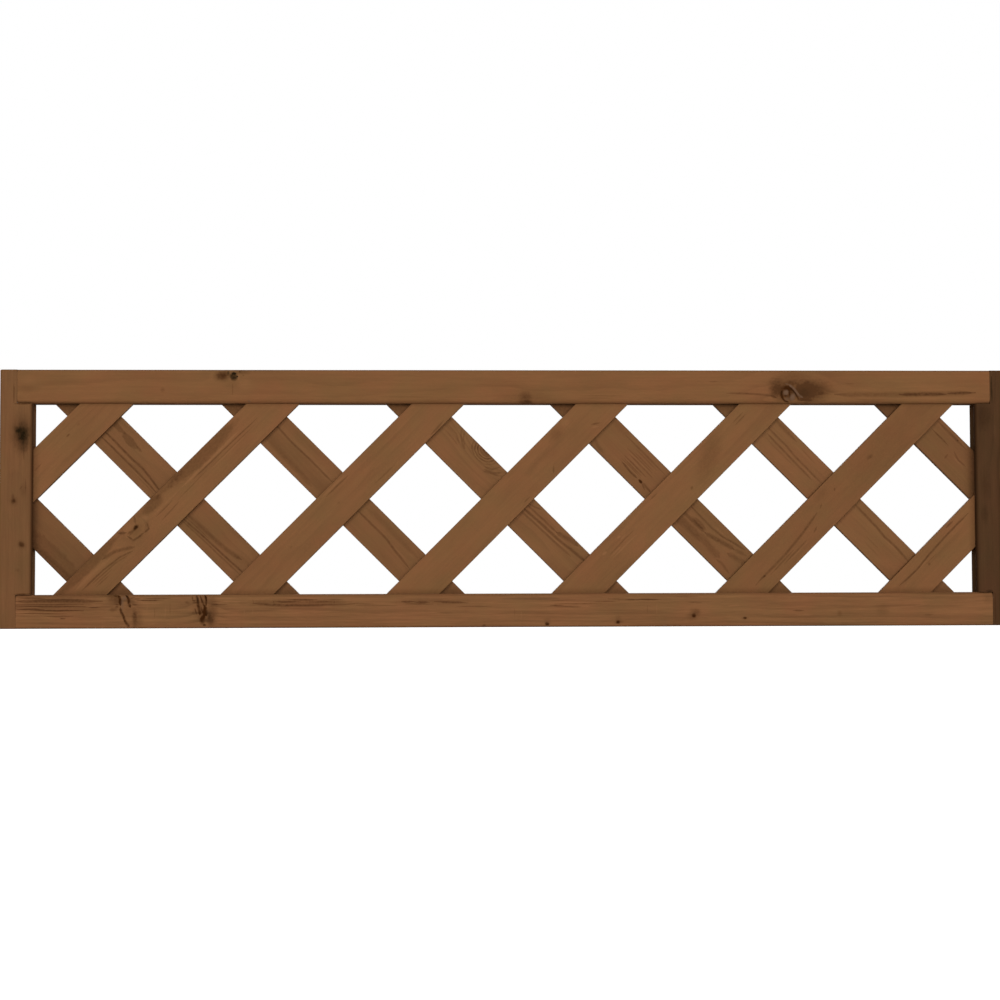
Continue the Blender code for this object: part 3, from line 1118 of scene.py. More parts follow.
def stained_wood(name, board, look):
    """The material of one board. `look` gives its colour, rings, the marks on it and its painted shade.
    """
    material, plan = new_material(name)
    place = plan.node("ShaderNodeTexCoord")
    turn = plan.node("ShaderNodeMapping", "into the board", vector_type="TEXTURE")
    plan.feed(turn.inputs["Vector"], Wire(plan, place.outputs["Object"]))
    turn.inputs["Location"].default_value = board["place"]
    turn.inputs["Rotation"].default_value = (0, math.radians(board["turn"]), 0)
    grain = Wire(plan, turn.outputs[0])
    x, y, z = plan.separate(grain)
    seed = look["seed"] * 1.37
    lean = (y - (slat_front if "slat" in name else frame_front)) * 0.5
    drift = plan.noise(plan.combine(x * 38 + seed, 0, z * 30), 3.0, 0.55) - 0.5
    spot = plan.combine(x + lean, 0, z + lean * 0.4 + drift * look.get("wander", 0.002))
    fray = plan.noise(plan.combine(x * 150 + seed, 0, z * 260), 3.0, 0.6) - 0.5
    grit = plan.ramp(plan.noise(plan.combine(x * 330, y * 330, z * 420), 2.0), 0.3, 0.7, 0.76, 1.14)
    amounts = marks_of(plan, spot, fray, look)
    swell = 0.0
    near = 0.0
    for *sizes, rings in look.get("knots", []):
        along, across, half_length, half_width = metres(sizes)
        pushed = use_group(
            plan,
            swell_group,
            spot=spot,
            along=along,
            across=across,
            half_length=half_length,
            half_width=half_width,
        )
        swell = swell + pushed["Swell"] * rings
        near = near + pushed["Swell"] * 1.5
    rings = use_group(
        plan,
        rings_group,
        grain=grain,
        pith_through=look["pith"][0],
        pith_across=look["pith"][1],
        pith_lean=look["pith"][2],
        ring_width=look["ring"],
        swell=swell,
        waviness=look.get("wavy", 0.004),
        seed=seed,
    )
    late = rings["Late Wood"]
    patch = plan.noise(plan.combine(x * 9 + seed, y * 30, z * 60), 2.0)
    clear = plan.ramp(patch, 0.38, 0.66, 0.2, 1.0) + near
    fibre = plan.ramp(
        plan.noise(plan.combine(x * 70 + seed, y * 900, z * 900), 2.0, 0.6), 0.25, 0.75
    )
    thread = plan.ramp(
        plan.noise(plan.combine(x * 14 + seed, y * 420, z * 420), 2.0), 0.28, 0.72
    )
    cloud = plan.ramp(
        plan.noise(plan.combine(x * 14 + seed, y * 25, z * 30 + seed), 3.0, 0.55), 0.25, 0.75
    )
    hue = plan.noise(plan.combine(x * 22 - seed, y * 30, z * 32), 2.0)
    tone = tuple(c * look.get("shade", 1.0) for c in look["colour"])
    red = times(tone, (1.055, 0.985, 0.985))
    olive = times(tone, (0.955, 1.015, 0.965))
    colour = mix_colour(plan, plan.ramp(hue, 0.3, 0.7), red, olive)
    fine = look.get("fine", 1.0)
    light = (
        1.05
        - late * clear * look.get("contrast", 0.2)
        + (fibre - 0.5) * (0.08 * fine)
        + (thread - 0.5) * (0.12 * fine)
        + (cloud - 0.5) * 0.13
    )
    colour = mix_colour(plan, 1.0, colour, plan.combine(light, light, light), "MULTIPLY")
    mark_and_shade_colours = {kind: times(tone, factors) for kind, factors in tone_factors.items()}
    mark_and_shade_colours.update(stain_colours)
    for kind, stain in mark_and_shade_colours.items():
        if isinstance(amounts[kind], Wire):
            colour = mix_colour(plan, amounts[kind] * grit, colour, stain)
    # Painted shade: the slats are darkened near the rails and the stiles, where the frame shades them.
    if "corner_shade" in look:
        (low_share, low_reach), (high_share, high_reach), (end_share, end_reach) = look["corner_shade"]
        aside, _, level = plan.separate(Wire(plan, place.outputs["Object"]))
        under = panel_height - rail_face
        beside = panel_length / 2 - stile_face
        aside = plan.math("ABSOLUTE", aside)
        low = plan.ramp(level, rail_face + low_reach, rail_face, 0.0, low_share, soft=True)
        high = plan.ramp(level, under - high_reach, under, 0.0, high_share, soft=True)
        ends = plan.ramp(aside, beside - end_reach, beside, 0.0, end_share, soft=True)
        painted_corner_shade = plan.math("MAXIMUM", plan.math("MAXIMUM", low, high), ends)
        colour = mix_colour(plan, painted_corner_shade * grit, colour, mark_and_shade_colours["dark"])
    # Painted shade: faces turned towards the board's edges are darkened by the direction of their
    # normal, as if in shade.
    facing = plan.node("ShaderNodeMapping", "normal into the board", vector_type="NORMAL")
    plan.feed(facing.inputs["Vector"], Wire(plan, place.outputs["Normal"]))
    facing.inputs["Rotation"].default_value = (0, -math.radians(board["turn"]), 0)
    nx, _, nz = plan.separate(Wire(plan, facing.outputs[0]))
    inner, outer = look.get("sides", (0.35, 0.35))
    side = plan.ramp(nz, 0.35, 1.0, 0.0, inner, soft=True)
    side = side + plan.ramp(nz, -0.35, -1.0, 0.0, outer, soft=True)
    colour = mix_colour(plan, side, colour, mark_and_shade_colours["dark"])
    end_grain = plan.ramp(plan.math("ABSOLUTE", nx), 0.55, 0.9, soft=True)
    end_tone = times(tone, (0.5, 0.5, 0.5))
    colour = mix_colour(plan, end_grain * (late * 0.5 + 0.4), colour, end_tone)
    shader = plan.node("ShaderNodeBsdfPrincipled", "oiled wood")
    plan.feed(shader.inputs["Base Color"], colour)
    plan.feed(shader.inputs["Roughness"], 0.68 + (fibre - 0.5) * 0.2 - late * 0.05)
    shader.inputs["Specular IOR Level"].default_value = 0.02
    bump = plan.node("ShaderNodeBump", "raised grain")
    bump.inputs["Strength"].default_value = 0.5
    bump.inputs["Distance"].default_value = 0.0004
    height = late * 0.3 + fibre * 0.3 + thread * 0.3 - amounts["black"] * 0.5
    plan.feed(bump.inputs["Height"], height)
    plan.tree.links.new(bump.outputs[0], shader.inputs["Normal"])
    end_material(plan, shader)
    return material


# %% [markdown]
# What a board shows is written down from the photo, in millimetres and in the board's own
# coordinates: x along it from its middle, then z across its face.
#
# A knot has its place, half length, half width, and the number of rings by which it pushes them
# aside. A line has its kind, half width, strength and two or more points. A spot has its kind,
# place, half length, half width, tilt in degrees, softness and strength. An eye is a place with
# fine rings round it: the place, a stretch, the rings' spacing, the inner and outer distance and
# the strength.
#
# Sides are how much painted shade darkens the edge towards positive z and the other edge. The pith is
# how far through and across the board it lies, in metres, and how it leans. Ring is the width of a
# growth ring in metres, wavy how far the rings stray, contrast how dark they are, fine how strong the
# fibres show, wander how far the marks stray, soft a factor for the width of lines, and shade one for
# the colour.

# %% What each board shows
looks = {
    "top_rail": {
        "colour": (0.2002, 0.0898, 0.036),
        "sides": (0, 0.55),
        "seed": 1,
        "pith": (0.09, -0.02, 0.004),
        "ring": 0.0035,
        "contrast": 0.1,
        "knots": [
            (326.5, -13, 8, 7, 0.8), (-338, 8, 16, 12, 1.6),
        ],
        "lines": [
            ("dark", 1.4, 0.6, (-322, 13.4), (-315, 10.5), (-298, 9), (-262, 7.6)),
            ("grey", 1.5, 0.95, (-353.5, 13), (-348.6, 10), (-345, 5), (-341.6, 1), (-337, -2.4)),
            ("grey", 1.1, 0.5, (-337, -2.4), (-332, -4)),
            ("umber", 1.2, 0.95, (-348.4, 15), (-346, 11), (-344.6, 8), (-342.4, 5), (-340, 2.6),
             (-338, 0.6)),
            ("black", 0.8, 0.6, (-346, 10.6), (-342, 5), (-338, 1)),
            ("umber", 1.4, 0.85, (-336, 18.8), (-331.4, 17), (-329, 14), (-327.4, 9.5), (-328.6, 4)),
            ("black", 1.2, 0.6, (-327.6, 10), (-327.8, 5)),
            ("umber", 1.1, 0.7, (-338.6, 14), (-337.8, 10), (-336.4, 4)),
            ("dark", 1, 0.35, (326.5, 10), (326.5, -3)), ("dark", 0.6, 0.39, (-86, 11), (-138, 11)),
            ("dark", 0.5, 0.28, (-86, 14), (-125, 14)), ("dark", 0.8, 0.25, (150, 12), (90, 12.5)),
            ("dark", 3.4, 0.46, (-392, 9.5), (-450, 9), (-505, 8.5), (-562, 7)),
            ("dark", 2.2, 0.62, (-470, 9), (-497, 9.2), (-527, 8.8)),
            ("dark", 1.8, 0.55, (-528, 8), (-562, 6.5)),
            ("pale", 1.6, 0.25, (-400, 13), (-470, 14), (-560, 13)),
            ("dark", 0.8, 0.34, (-404, -4), (-416, -3.6)),
            ("dark", 0.8, 0.34, (-241, -6.2), (-251, -6)),
        ],
        "spots": [
            ("dark", -366, 4, 19, 11, 0, 0.9, 0.95), ("dark", -354, 6, 12, 11, 0, 0.8, 0.9),
            ("black", -355, 7, 8, 6, 0, 0.9, 0.32), ("dark", -356, 15.5, 11, 2.4, 0, 0.7, 0.6),
            ("dark", -323, 3, 9, 12, 20, 0.9, 1), ("dark", -337, -4, 8, 3.4, 15, 0.8, 0.6),
            ("dark", -377, 8, 6, 1.8, 0, 0.8, 0.4), ("dark", -343, -12, 20, 8, 0, 0.9, 0.25),
            ("umber", -335.5, 8.5, 9.5, 9.5, 0, 0.5, 0.72),
            ("umber", -335.5, 1.6, 7, 3.2, 0, 0.7, 0.75),
            ("grey", -341, 12.6, 3.2, 4.6, -20, 0.7, 0.95), ("grey", -333, 7, 3.4, 3.3, 0, 0.6, 1),
            ("grey", -334, 15, 3, 2.4, 0, 0.8, 0.6), ("umber", -332.6, 10.6, 1.3, 1.1, 0, 0.6, 0.7),
            ("umber", -341.4, -2.8, 2.4, 1.5, 0, 0.8, 0.5), ("dark", 339, -12.5, 8.5, 6, 0, 0.8, 0.95),
            ("umber", 337, -13.5, 6, 4.4, 0, 0.8, 0.45), ("black", 331.6, -16, 1.7, 3, 0, 0.7, 0.65),
            ("black", 325.3, -11.6, 4.5, 5.2, 0, 0.4, 0.86),
            ("black", 324.8, -15.3, 2.4, 1.2, 0, 0.5, 0.8), ("black", 320.8, -11.6, 1, 1, 0, 0.5, 0.7),
            ("pale", 319.3, -10.6, 1.3, 3.6, 0, 0.7, 0.5), ("pale", 329.4, -9, 1.1, 3, 20, 0.7, 0.3),
            ("pale", 313, -3, 8, 7, 0, 0.9, 0.3), ("dark", 315, -17, 9, 2.6, 0, 0.8, 0.45),
            ("umber", 318.2, -17.4, 1, 0.9, 0, 0.5, 0.7),
            ("umber", 313.8, -13.2, 1.2, 0.9, 0, 0.7, 0.4), ("grey", 307.5, 18, 1.8, 1.5, 0, 0.4, 0.7),
            ("dark", 409, 4, 2.4, 3, 0, 0.8, 0.3), ("dark", 568, 3, 13, 5, 0, 0.9, 0.25),
            ("pale", 567, -8, 9, 5, 0, 0.9, 0.25), ("dark", -21, 13, 7, 7, 0, 0.8, 0.5),
            ("dark", -24, 12, 28, 7, 0, 0.9, 0.25), ("dark", -20, 19, 9, 3, 0, 0.5, 0.6),
            ("dark", -348, 0, 36, 17, 0, 0.9, 0.22),
        ],
        "fine": 0.7,
    },
    "bottom_rail": {
        "colour": (0.2111, 0.0957, 0.0396),
        "sides": (0, 0.55),
        "seed": 2,
        "pith": (0.12, 0.03, 0.003),
        "ring": 0.0024,
        "contrast": 0.17,
        "fine": 1.9,
        "knots": [
            (-452, 10, 6, 8, 0.8), (-361, 4, 7, 12, 0.8),
        ],
        "lines": [
            ("umber", 2.17, 0.98, (-458.7, 19.5), (-457.3, 14), (-457.2, 7)),
            ("umber", 1.89, 0.69, (-457.4, 15.5), (-457.2, 8)),
            ("umber", 2.17, 0.69, (-464, 19), (-457, 18)),
            ("umber", 1.9, 1, (-449.8, 19.8), (-447.4, 14), (-447.2, 10), (-445.6, 5)),
            ("black", 1.3, 0.7, (-449.8, 19.8), (-448, 16.5)),
            ("umber", 1.8, 0.95, (-457.3, 5), (-456, -1), (-453.6, -5), (-451.6, -11), (-448.6, -16),
             (-446.6, -17.8)),
            ("dark", 0.7, 0.7, (-463, 8.3), (-459, 8.2)), ("dark", 0.7, 0.7, (-463, 5.8), (-459, 5.6)),
            ("dark", 0.8, 0.6, (-445.5, 15), (-440, 16.8)),
            ("dark", 0.8, 0.7, (-441, 14.9), (-434, 15.2)), ("dark", 0.8, 0.6, (-444, 8), (-437, 8.2)),
            ("pale", 0.8, 0.5, (-442, 12.9), (-435, 13)),
            ("umber", 1.88, 0.9, (-367.4, 19.6), (-366.6, 12), (-366, 7), (-364.6, 1), (-364, -4)),
            ("black", 0.9, 0.5, (-367.2, 19), (-366.2, 9)),
            ("umber", 0.9, 0.6, (-372.6, 19), (-372.6, 13)),
            ("umber", 1.1, 0.7, (-373, 12.8), (-369, 12.6)),
            ("umber", 0.8, 0.5, (-373, 10.4), (-367, 10.2)),
            ("umber", 0.9, 0.6, (-370, 3.8), (-368.6, -1), (-367.4, -3.8)),
            ("umber", 0.7, 0.4, (-373.6, -1.6), (-371, -1.5)),
            ("umber", 1.25, 0.85, (-363.4, 18.6), (-361.4, 11.5), (-360, 8.8), (-358.6, 5)),
            ("umber", 1.12, 0.75, (-363, 5.4), (-361.6, 1), (-360, -2)),
            ("pale", 0.9, 0.8, (-365, 18.4), (-363.6, 12), (-362.4, 7)),
            ("pale", 0.9, 0.7, (-361.6, 18), (-360, 13)), ("pale", 0.9, 0.7, (-361.6, 7), (-361, 4)),
            ("pale", 0.9, 0.5, (-369.6, 9), (-367.6, 3), (-366, -1)),
            ("umber", 1.3, 1, (-357, 19.8), (-356.6, 12), (-356.8, 6)),
            ("umber", 1.8, 0.8, (-357, 19.6), (-356.8, 14)),
            ("umber", 2.6, 0.95, (-358.2, 6.5), (-357.4, 0), (-356.6, -5)),
            ("umber", 1.6, 0.7, (-359, 4), (-358.8, -1), (-359, -7)),
            ("dark", 0.7, 0.7, (-350, 8), (-342, 8.3)), ("dark", 0.6, 0.4, (-350, 11.4), (-337, 11.6)),
            ("pale", 0.6, 0.5, (-349, 9.8), (-337, 10)), ("dark", 1, 0.71, (-576, 16.4), (-545, 16.2)),
            ("dark", 1, 0.52, (-555, 14.4), (-500, 14)),
            ("dark", 2.25, 0.64, (-580, 12.4), (-540, 12.8), (-478, 11.8)),
            ("dark", 0.75, 0.57, (-580, 8.6), (-500, 8.4)),
            ("dark", 0.75, 0.84, (-580, 6.4), (-498, 6)), ("dark", 1, 0.97, (-578, 3), (-546, 2.9)),
            ("dark", 1.12, 0.97, (-562, 1.6), (-500, 1.3)), ("dark", 1, 0.64, (-580, -2), (-520, -2.2)),
            ("dark", 1, 0.64, (-546, -5.3), (-512, -5.6)), ("dark", 0.75, 0.9, (-528, -8), (-521, -8)),
            ("pale", 0.75, 0.52, (-575, 10.2), (-512, 10.4)),
            ("pale", 0.75, 0.77, (-575, -3.6), (-548, -3.4)),
            ("pale", 0.75, 0.39, (-580, 4.8), (-545, 4.7)),
            ("pale", 0.75, 0.77, (-493, 7.9), (-478, 7.7)),
            ("pale", 0.62, 0.64, (-496, 6.2), (-480, 6.2)),
            ("dark", 0.75, 0.9, (-494, 4.7), (-481, 4.7)),
            ("pale", 0.75, 0.52, (-481, -6.5), (-462, -6.6)),
            ("dark", 0.88, 1, (-438, 13), (-406, 13.2)), ("dark", 1, 0.64, (-430, 15.4), (-398, 15.3)),
            ("pale", 0.75, 0.77, (-440, 11.6), (-425, 11.5)),
            ("pale", 0.75, 0.64, (-440, 9.7), (-407, 9.6)),
            ("pale", 0.75, 0.77, (-348, 16), (-322, 15)), ("dark", 0.88, 0.64, (-350, 8), (-332, 8.2)),
            ("pale", 0.75, 0.64, (-348, 12), (-312, 11.5)),
            ("dark", 1.12, 0.66, (-262, 13.4), (-226, 13.3)),
            ("dark", 1, 0.59, (-278, 11), (-245, 10.8)), ("dark", 1, 0.51, (-240, 10.6), (-185, 10.6)),
            ("dark", 1.62, 0.47, (-302, 9), (-280, 7), (-230, 6.6), (-182, 8)),
            ("dark", 1, 0.51, (-215, 13.2), (-196, 13)), ("dark", 1, 0.42, (-190, 9), (-160, 8)),
            ("dark", 1.25, 0.64, (-127, 10.6), (-112, 10.4)),
            ("dark", 1.5, 0.66, (-112, 10), (-94, 9.6)), ("dark", 1.38, 0.64, (-88, 10.4), (-48, 9)),
            ("dark", 0.88, 0.42, (-125, 8), (-90, 7.4)), ("dark", 0.75, 0.34, (-84, -2.5), (-66, -3)),
            ("pale", 0.75, 0.52, (-155, 4.7), (-118, 5)),
            ("pale", 0.75, 0.45, (-160, -5), (-140, -5.2)),
            ("dark", 0.75, 0.77, (140, 12.6), (178, 12.4)),
            ("dark", 0.75, 0.64, (96, 9.5), (132, 10.4)), ("dark", 0.75, 0.77, (49, 5.6), (66, 5.6)),
            ("dark", 0.75, 0.34, (55, 3.6), (92, 3.5)), ("pale", 0.62, 0.64, (82, 4.4), (98, 4.4)),
            ("pale", 0.62, 0.52, (20, 9.5), (45, 8.6)), ("dark", 0.62, 0.52, (50, 11), (80, 12)),
            ("dark", 1.12, 0.64, (339, -1.4), (352, -1.6)), ("pale", 1, 0.45, (340, -6.5), (362, -6.5)),
            ("pale", 0.88, 0.45, (300, -5.5), (318, -5.5)),
            ("pale", 0.88, 0.45, (455, 2), (478, 2.6), (500, 5)),
            ("dark", 1, 0.52, (497, -7), (508, -6.8)), ("pale", 0.88, 0.39, (520, 8), (560, 10)),
            ("dark", 1.1, 0.36, (-180, 6.4), (-132, 6.2)), ("pale", 0.9, 0.4, (-200, 13), (-168, 13)),
            ("dark", 1, 0.5, (-62, 5), (-20, 5)), ("dark", 0.8, 0.5, (55, 7.5), (110, 7.5)),
            ("pale", 0.8, 0.5, (45, 8.8), (105, 9)), ("dark", 1.1, 0.33, (45, 4.4), (86, 4.2)),
            ("pale", 0.7, 0.5, (95, 9.8), (112, 9.6)), ("dark", 1.8, 0.4, (118, 13), (156, 12)),
            ("dark", 1, 0.6, (155, 12.3), (182, 12.2)), ("dark", 1, 0.4, (198, 15), (226, 16)),
            ("dark", 0.9, 0.5, (214, 8.5), (230, 8.5)), ("pale", 0.8, 0.4, (262, 5), (276, 5)),
            ("dark", 2, 0.3, (-6, 14.5), (60, 13.5)), ("pale", 0.7, 0.4, (-96, -2), (-86, -2)),
            ("pale", 0.7, 0.4, (-96, 1), (-86, 1)), ("dark", 0.7, 0.33, (-302, 14), (-301, 9)),
            ("dark", 0.7, 0.33, (-278, 12), (-277, 8)), ("dark", 0.6, 0.26, (-235, 13), (-235, 8.6)),
            ("dark", 0.7, 0.26, (-206, 12), (-206, 8.4)), ("pale", 0.7, 0.35, (-426, 10), (-426, -2)),
            ("dark", 0.7, 0.3, (-417, 4), (-417, -8)), ("pale", 0.7, 0.35, (-404, 6), (-405, -9)),
            ("dark", 0.7, 0.3, (-399, 10), (-399, -4)), ("pale", 0.7, 0.3, (-312, 2), (-312, -6)),
            ("pale", 0.7, 0.3, (-302, 3), (-302, -4)), ("dark", 0.7, 0.25, (7, 3), (7, -8)),
            ("pale", 0.7, 0.3, (15, -2), (15, -12)), ("dark", 0.7, 0.25, (165, 6), (165, -4)),
            ("pale", 0.7, 0.3, (176, 8), (176, -5)),
        ],
        "spots": [
            ("dark", -255, 9.5, 56, 4.9, 0, 0.4, 0.42), ("dark", -92, 10, 45, 3.5, 0, 0.5, 0.3),
            ("dark", -532, 9, 50, 10, 0, 0.8, 0.34), ("dark", -29, -17.6, 2, 1.6, 0, 0.6, 0.7),
            ("dark", 220, -3, 5, 5, 0, 0.9, 0.3), ("dark", 130, -11, 4, 5, 0, 0.9, 0.25),
            ("dark", 395, -5, 3, 3.4, 0, 0.8, 0.35), ("dark", 447, -1, 8, 8, 0, 0.9, 0.25),
            ("dark", 574, 12, 6, 6, 0, 0.9, 0.3), ("umber", 45.5, -16.2, 2.5, 2, 0, 0.6, 1),
            ("umber", 130, -14.6, 2.3, 2.2, 0, 0.6, 1), ("umber", 220.5, -6.8, 2.6, 2.3, 0, 0.6, 1),
            ("umber", 281.5, -10, 2.3, 1.4, 0, 0.6, 1), ("dark", 131, -14.5, 5, 2.4, 0, 0.8, 0.45),
            ("dark", 46, -14, 4, 4, 0, 0.9, 0.35), ("dark", 224, -3, 5, 4.5, 0, 0.9, 0.4),
            ("dark", 218, -9, 6, 5, 0, 0.9, 0.35), ("dark", 281, -10, 4.4, 1.8, 0, 0.8, 0.4),
            ("grey", -452, 16.3, 2.3, 2.6, 0, 0.5, 0.75), ("grey", -455, 10, 1.7, 9, 0, 0.9, 0.5),
            ("dark", -466, 16, 7, 5, 0, 0.8, 0.6), ("dark", -466, 2.5, 4, 3, 0, 0.9, 0.5),
            ("dark", -461, 10, 3.4, 8, 0, 0.8, 0.45), ("pale", -457.7, -1.3, 0.9, 0.8, 0, 0.5, 0.6),
            ("dark", -440.5, -8, 3, 10, 0, 0.8, 0.6), ("pale", -451.5, 8, 2.2, 5, 0, 0.9, 0.25),
            ("black", -354.6, -5, 3.4, 8.5, -8, 0.8, 0.35), ("dark", -352, -10, 4.4, 7, 0, 0.8, 0.85),
            ("umber", -360.4, -9, 3.4, 4.8, -20, 0.7, 0.75),
            ("umber", -358.6, -16, 2, 1.3, 0, 0.5, 0.85), ("dark", -361, -13, 3, 3, 0, 0.9, 0.6),
            ("dark", -379, 10.5, 2.8, 1.7, -20, 0.7, 0.5), ("dark", -363, 6, 8, 13, -12, 0.8, 0.55),
            ("umber", -361, -5, 4, 7, -25, 0.8, 0.6), ("dark", -349, 1, 5.5, 16, 0, 0.9, 0.55),
            ("dark", -447, 6, 8, 13, 0, 0.9, 0.3), ("dark", -437, -8, 6, 13, 0, 0.9, 0.35),
        ],
        "wavy": 0.0016,
    },
    "left_stile": {
        "colour": (0.167, 0.0774, 0.0323),
        "sides": (1, 0.55),
        "seed": 3,
        "pith": (0.1, 0, 0.004),
        "ring": 0.004,
        "contrast": 0.09,
        "knots": [
            (-76, 6, 12, 9, 0.7),
        ],
        "lines": [
            ("dark", 1.2, 0.39, (-62, 9), (-46, 9.5)), ("dark", 0.7, 0.39, (-24, 12), (-8, 11.5)),
            ("dark", 0.8, 0.45, (-15, 7.5), (-11, 5)), ("umber", 1, 0.8, (-112.4, 19), (-112.2, -2)),
            ("umber", 0.9, 0.6, (-113, -2.6), (-136, -2.8)),
            ("umber", 1, 0.75, (112.2, 19), (112.2, -1)),
        ],
        "spots": [
            ("dark", -75, 6.5, 19, 11, 0, 0.9, 0.75), ("black", -78, 7.6, 9.6, 7.6, 0, 0.8, 0.9),
            ("black", -66, 9.3, 9.5, 5.2, 0, 0.9, 0.55), ("black", -80.5, 1.4, 4.4, 3.8, 0, 0.9, 0.42),
            ("dark", -10, 9.5, 9, 4, 0, 0.9, 0.3), ("umber", 2.6, -2.3, 2.9, 2.6, 0, 0.7, 0.85),
            ("dark", -3, -3, 3, 1.6, 0, 0.8, 0.4), ("umber", 54, 7.3, 3.6, 2.6, 50, 0.7, 0.85),
            ("dark", 84, 3, 2, 2.4, 0, 0.8, 0.25), ("dark", 78, 5, 20, 5, 0, 0.9, 0.15),
            ("dark", 54, 7.3, 6, 4.5, 50, 0.9, 0.4), ("dark", 2.6, -2.3, 6, 5, 0, 0.9, 0.35),
        ],
    },
    "right_stile": {
        "colour": (0.0734, 0.0346, 0.015),
        "sides": (0.9, 0.55),
        "seed": 4,
        "pith": (0.08, 0.03, 0.01),
        "ring": 0.004,
        "contrast": 0.18,
        "spots": [
            ("dark", -19, 9, 12, 4, 0, 0.8, 0.4), ("dark", 15, 8, 18, 6, 0, 0.9, 0.35),
            ("dark", 98, 9, 16, 9, 0, 0.8, 0.5), ("pale", 80, -4, 9, 2.5, 0, 0.8, 0.35),
            ("dark", -114, 4, 2, 5, 0, 0.5, 0.6),
        ],
        "lines": [
            ("black", 1.1, 0.7, (114, -1.6), (146, -1.4)), ("umber", 1, 0.45, (-151, -1.8), (-114, -2)),
            ("black", 1.4, 0.5, (-111.5, 9), (-111.5, 1)),
        ],
    },
}
front_tone = (0.1992, 0.0909, 0.0367)
back_tone = (0.1873, 0.0853, 0.0351)
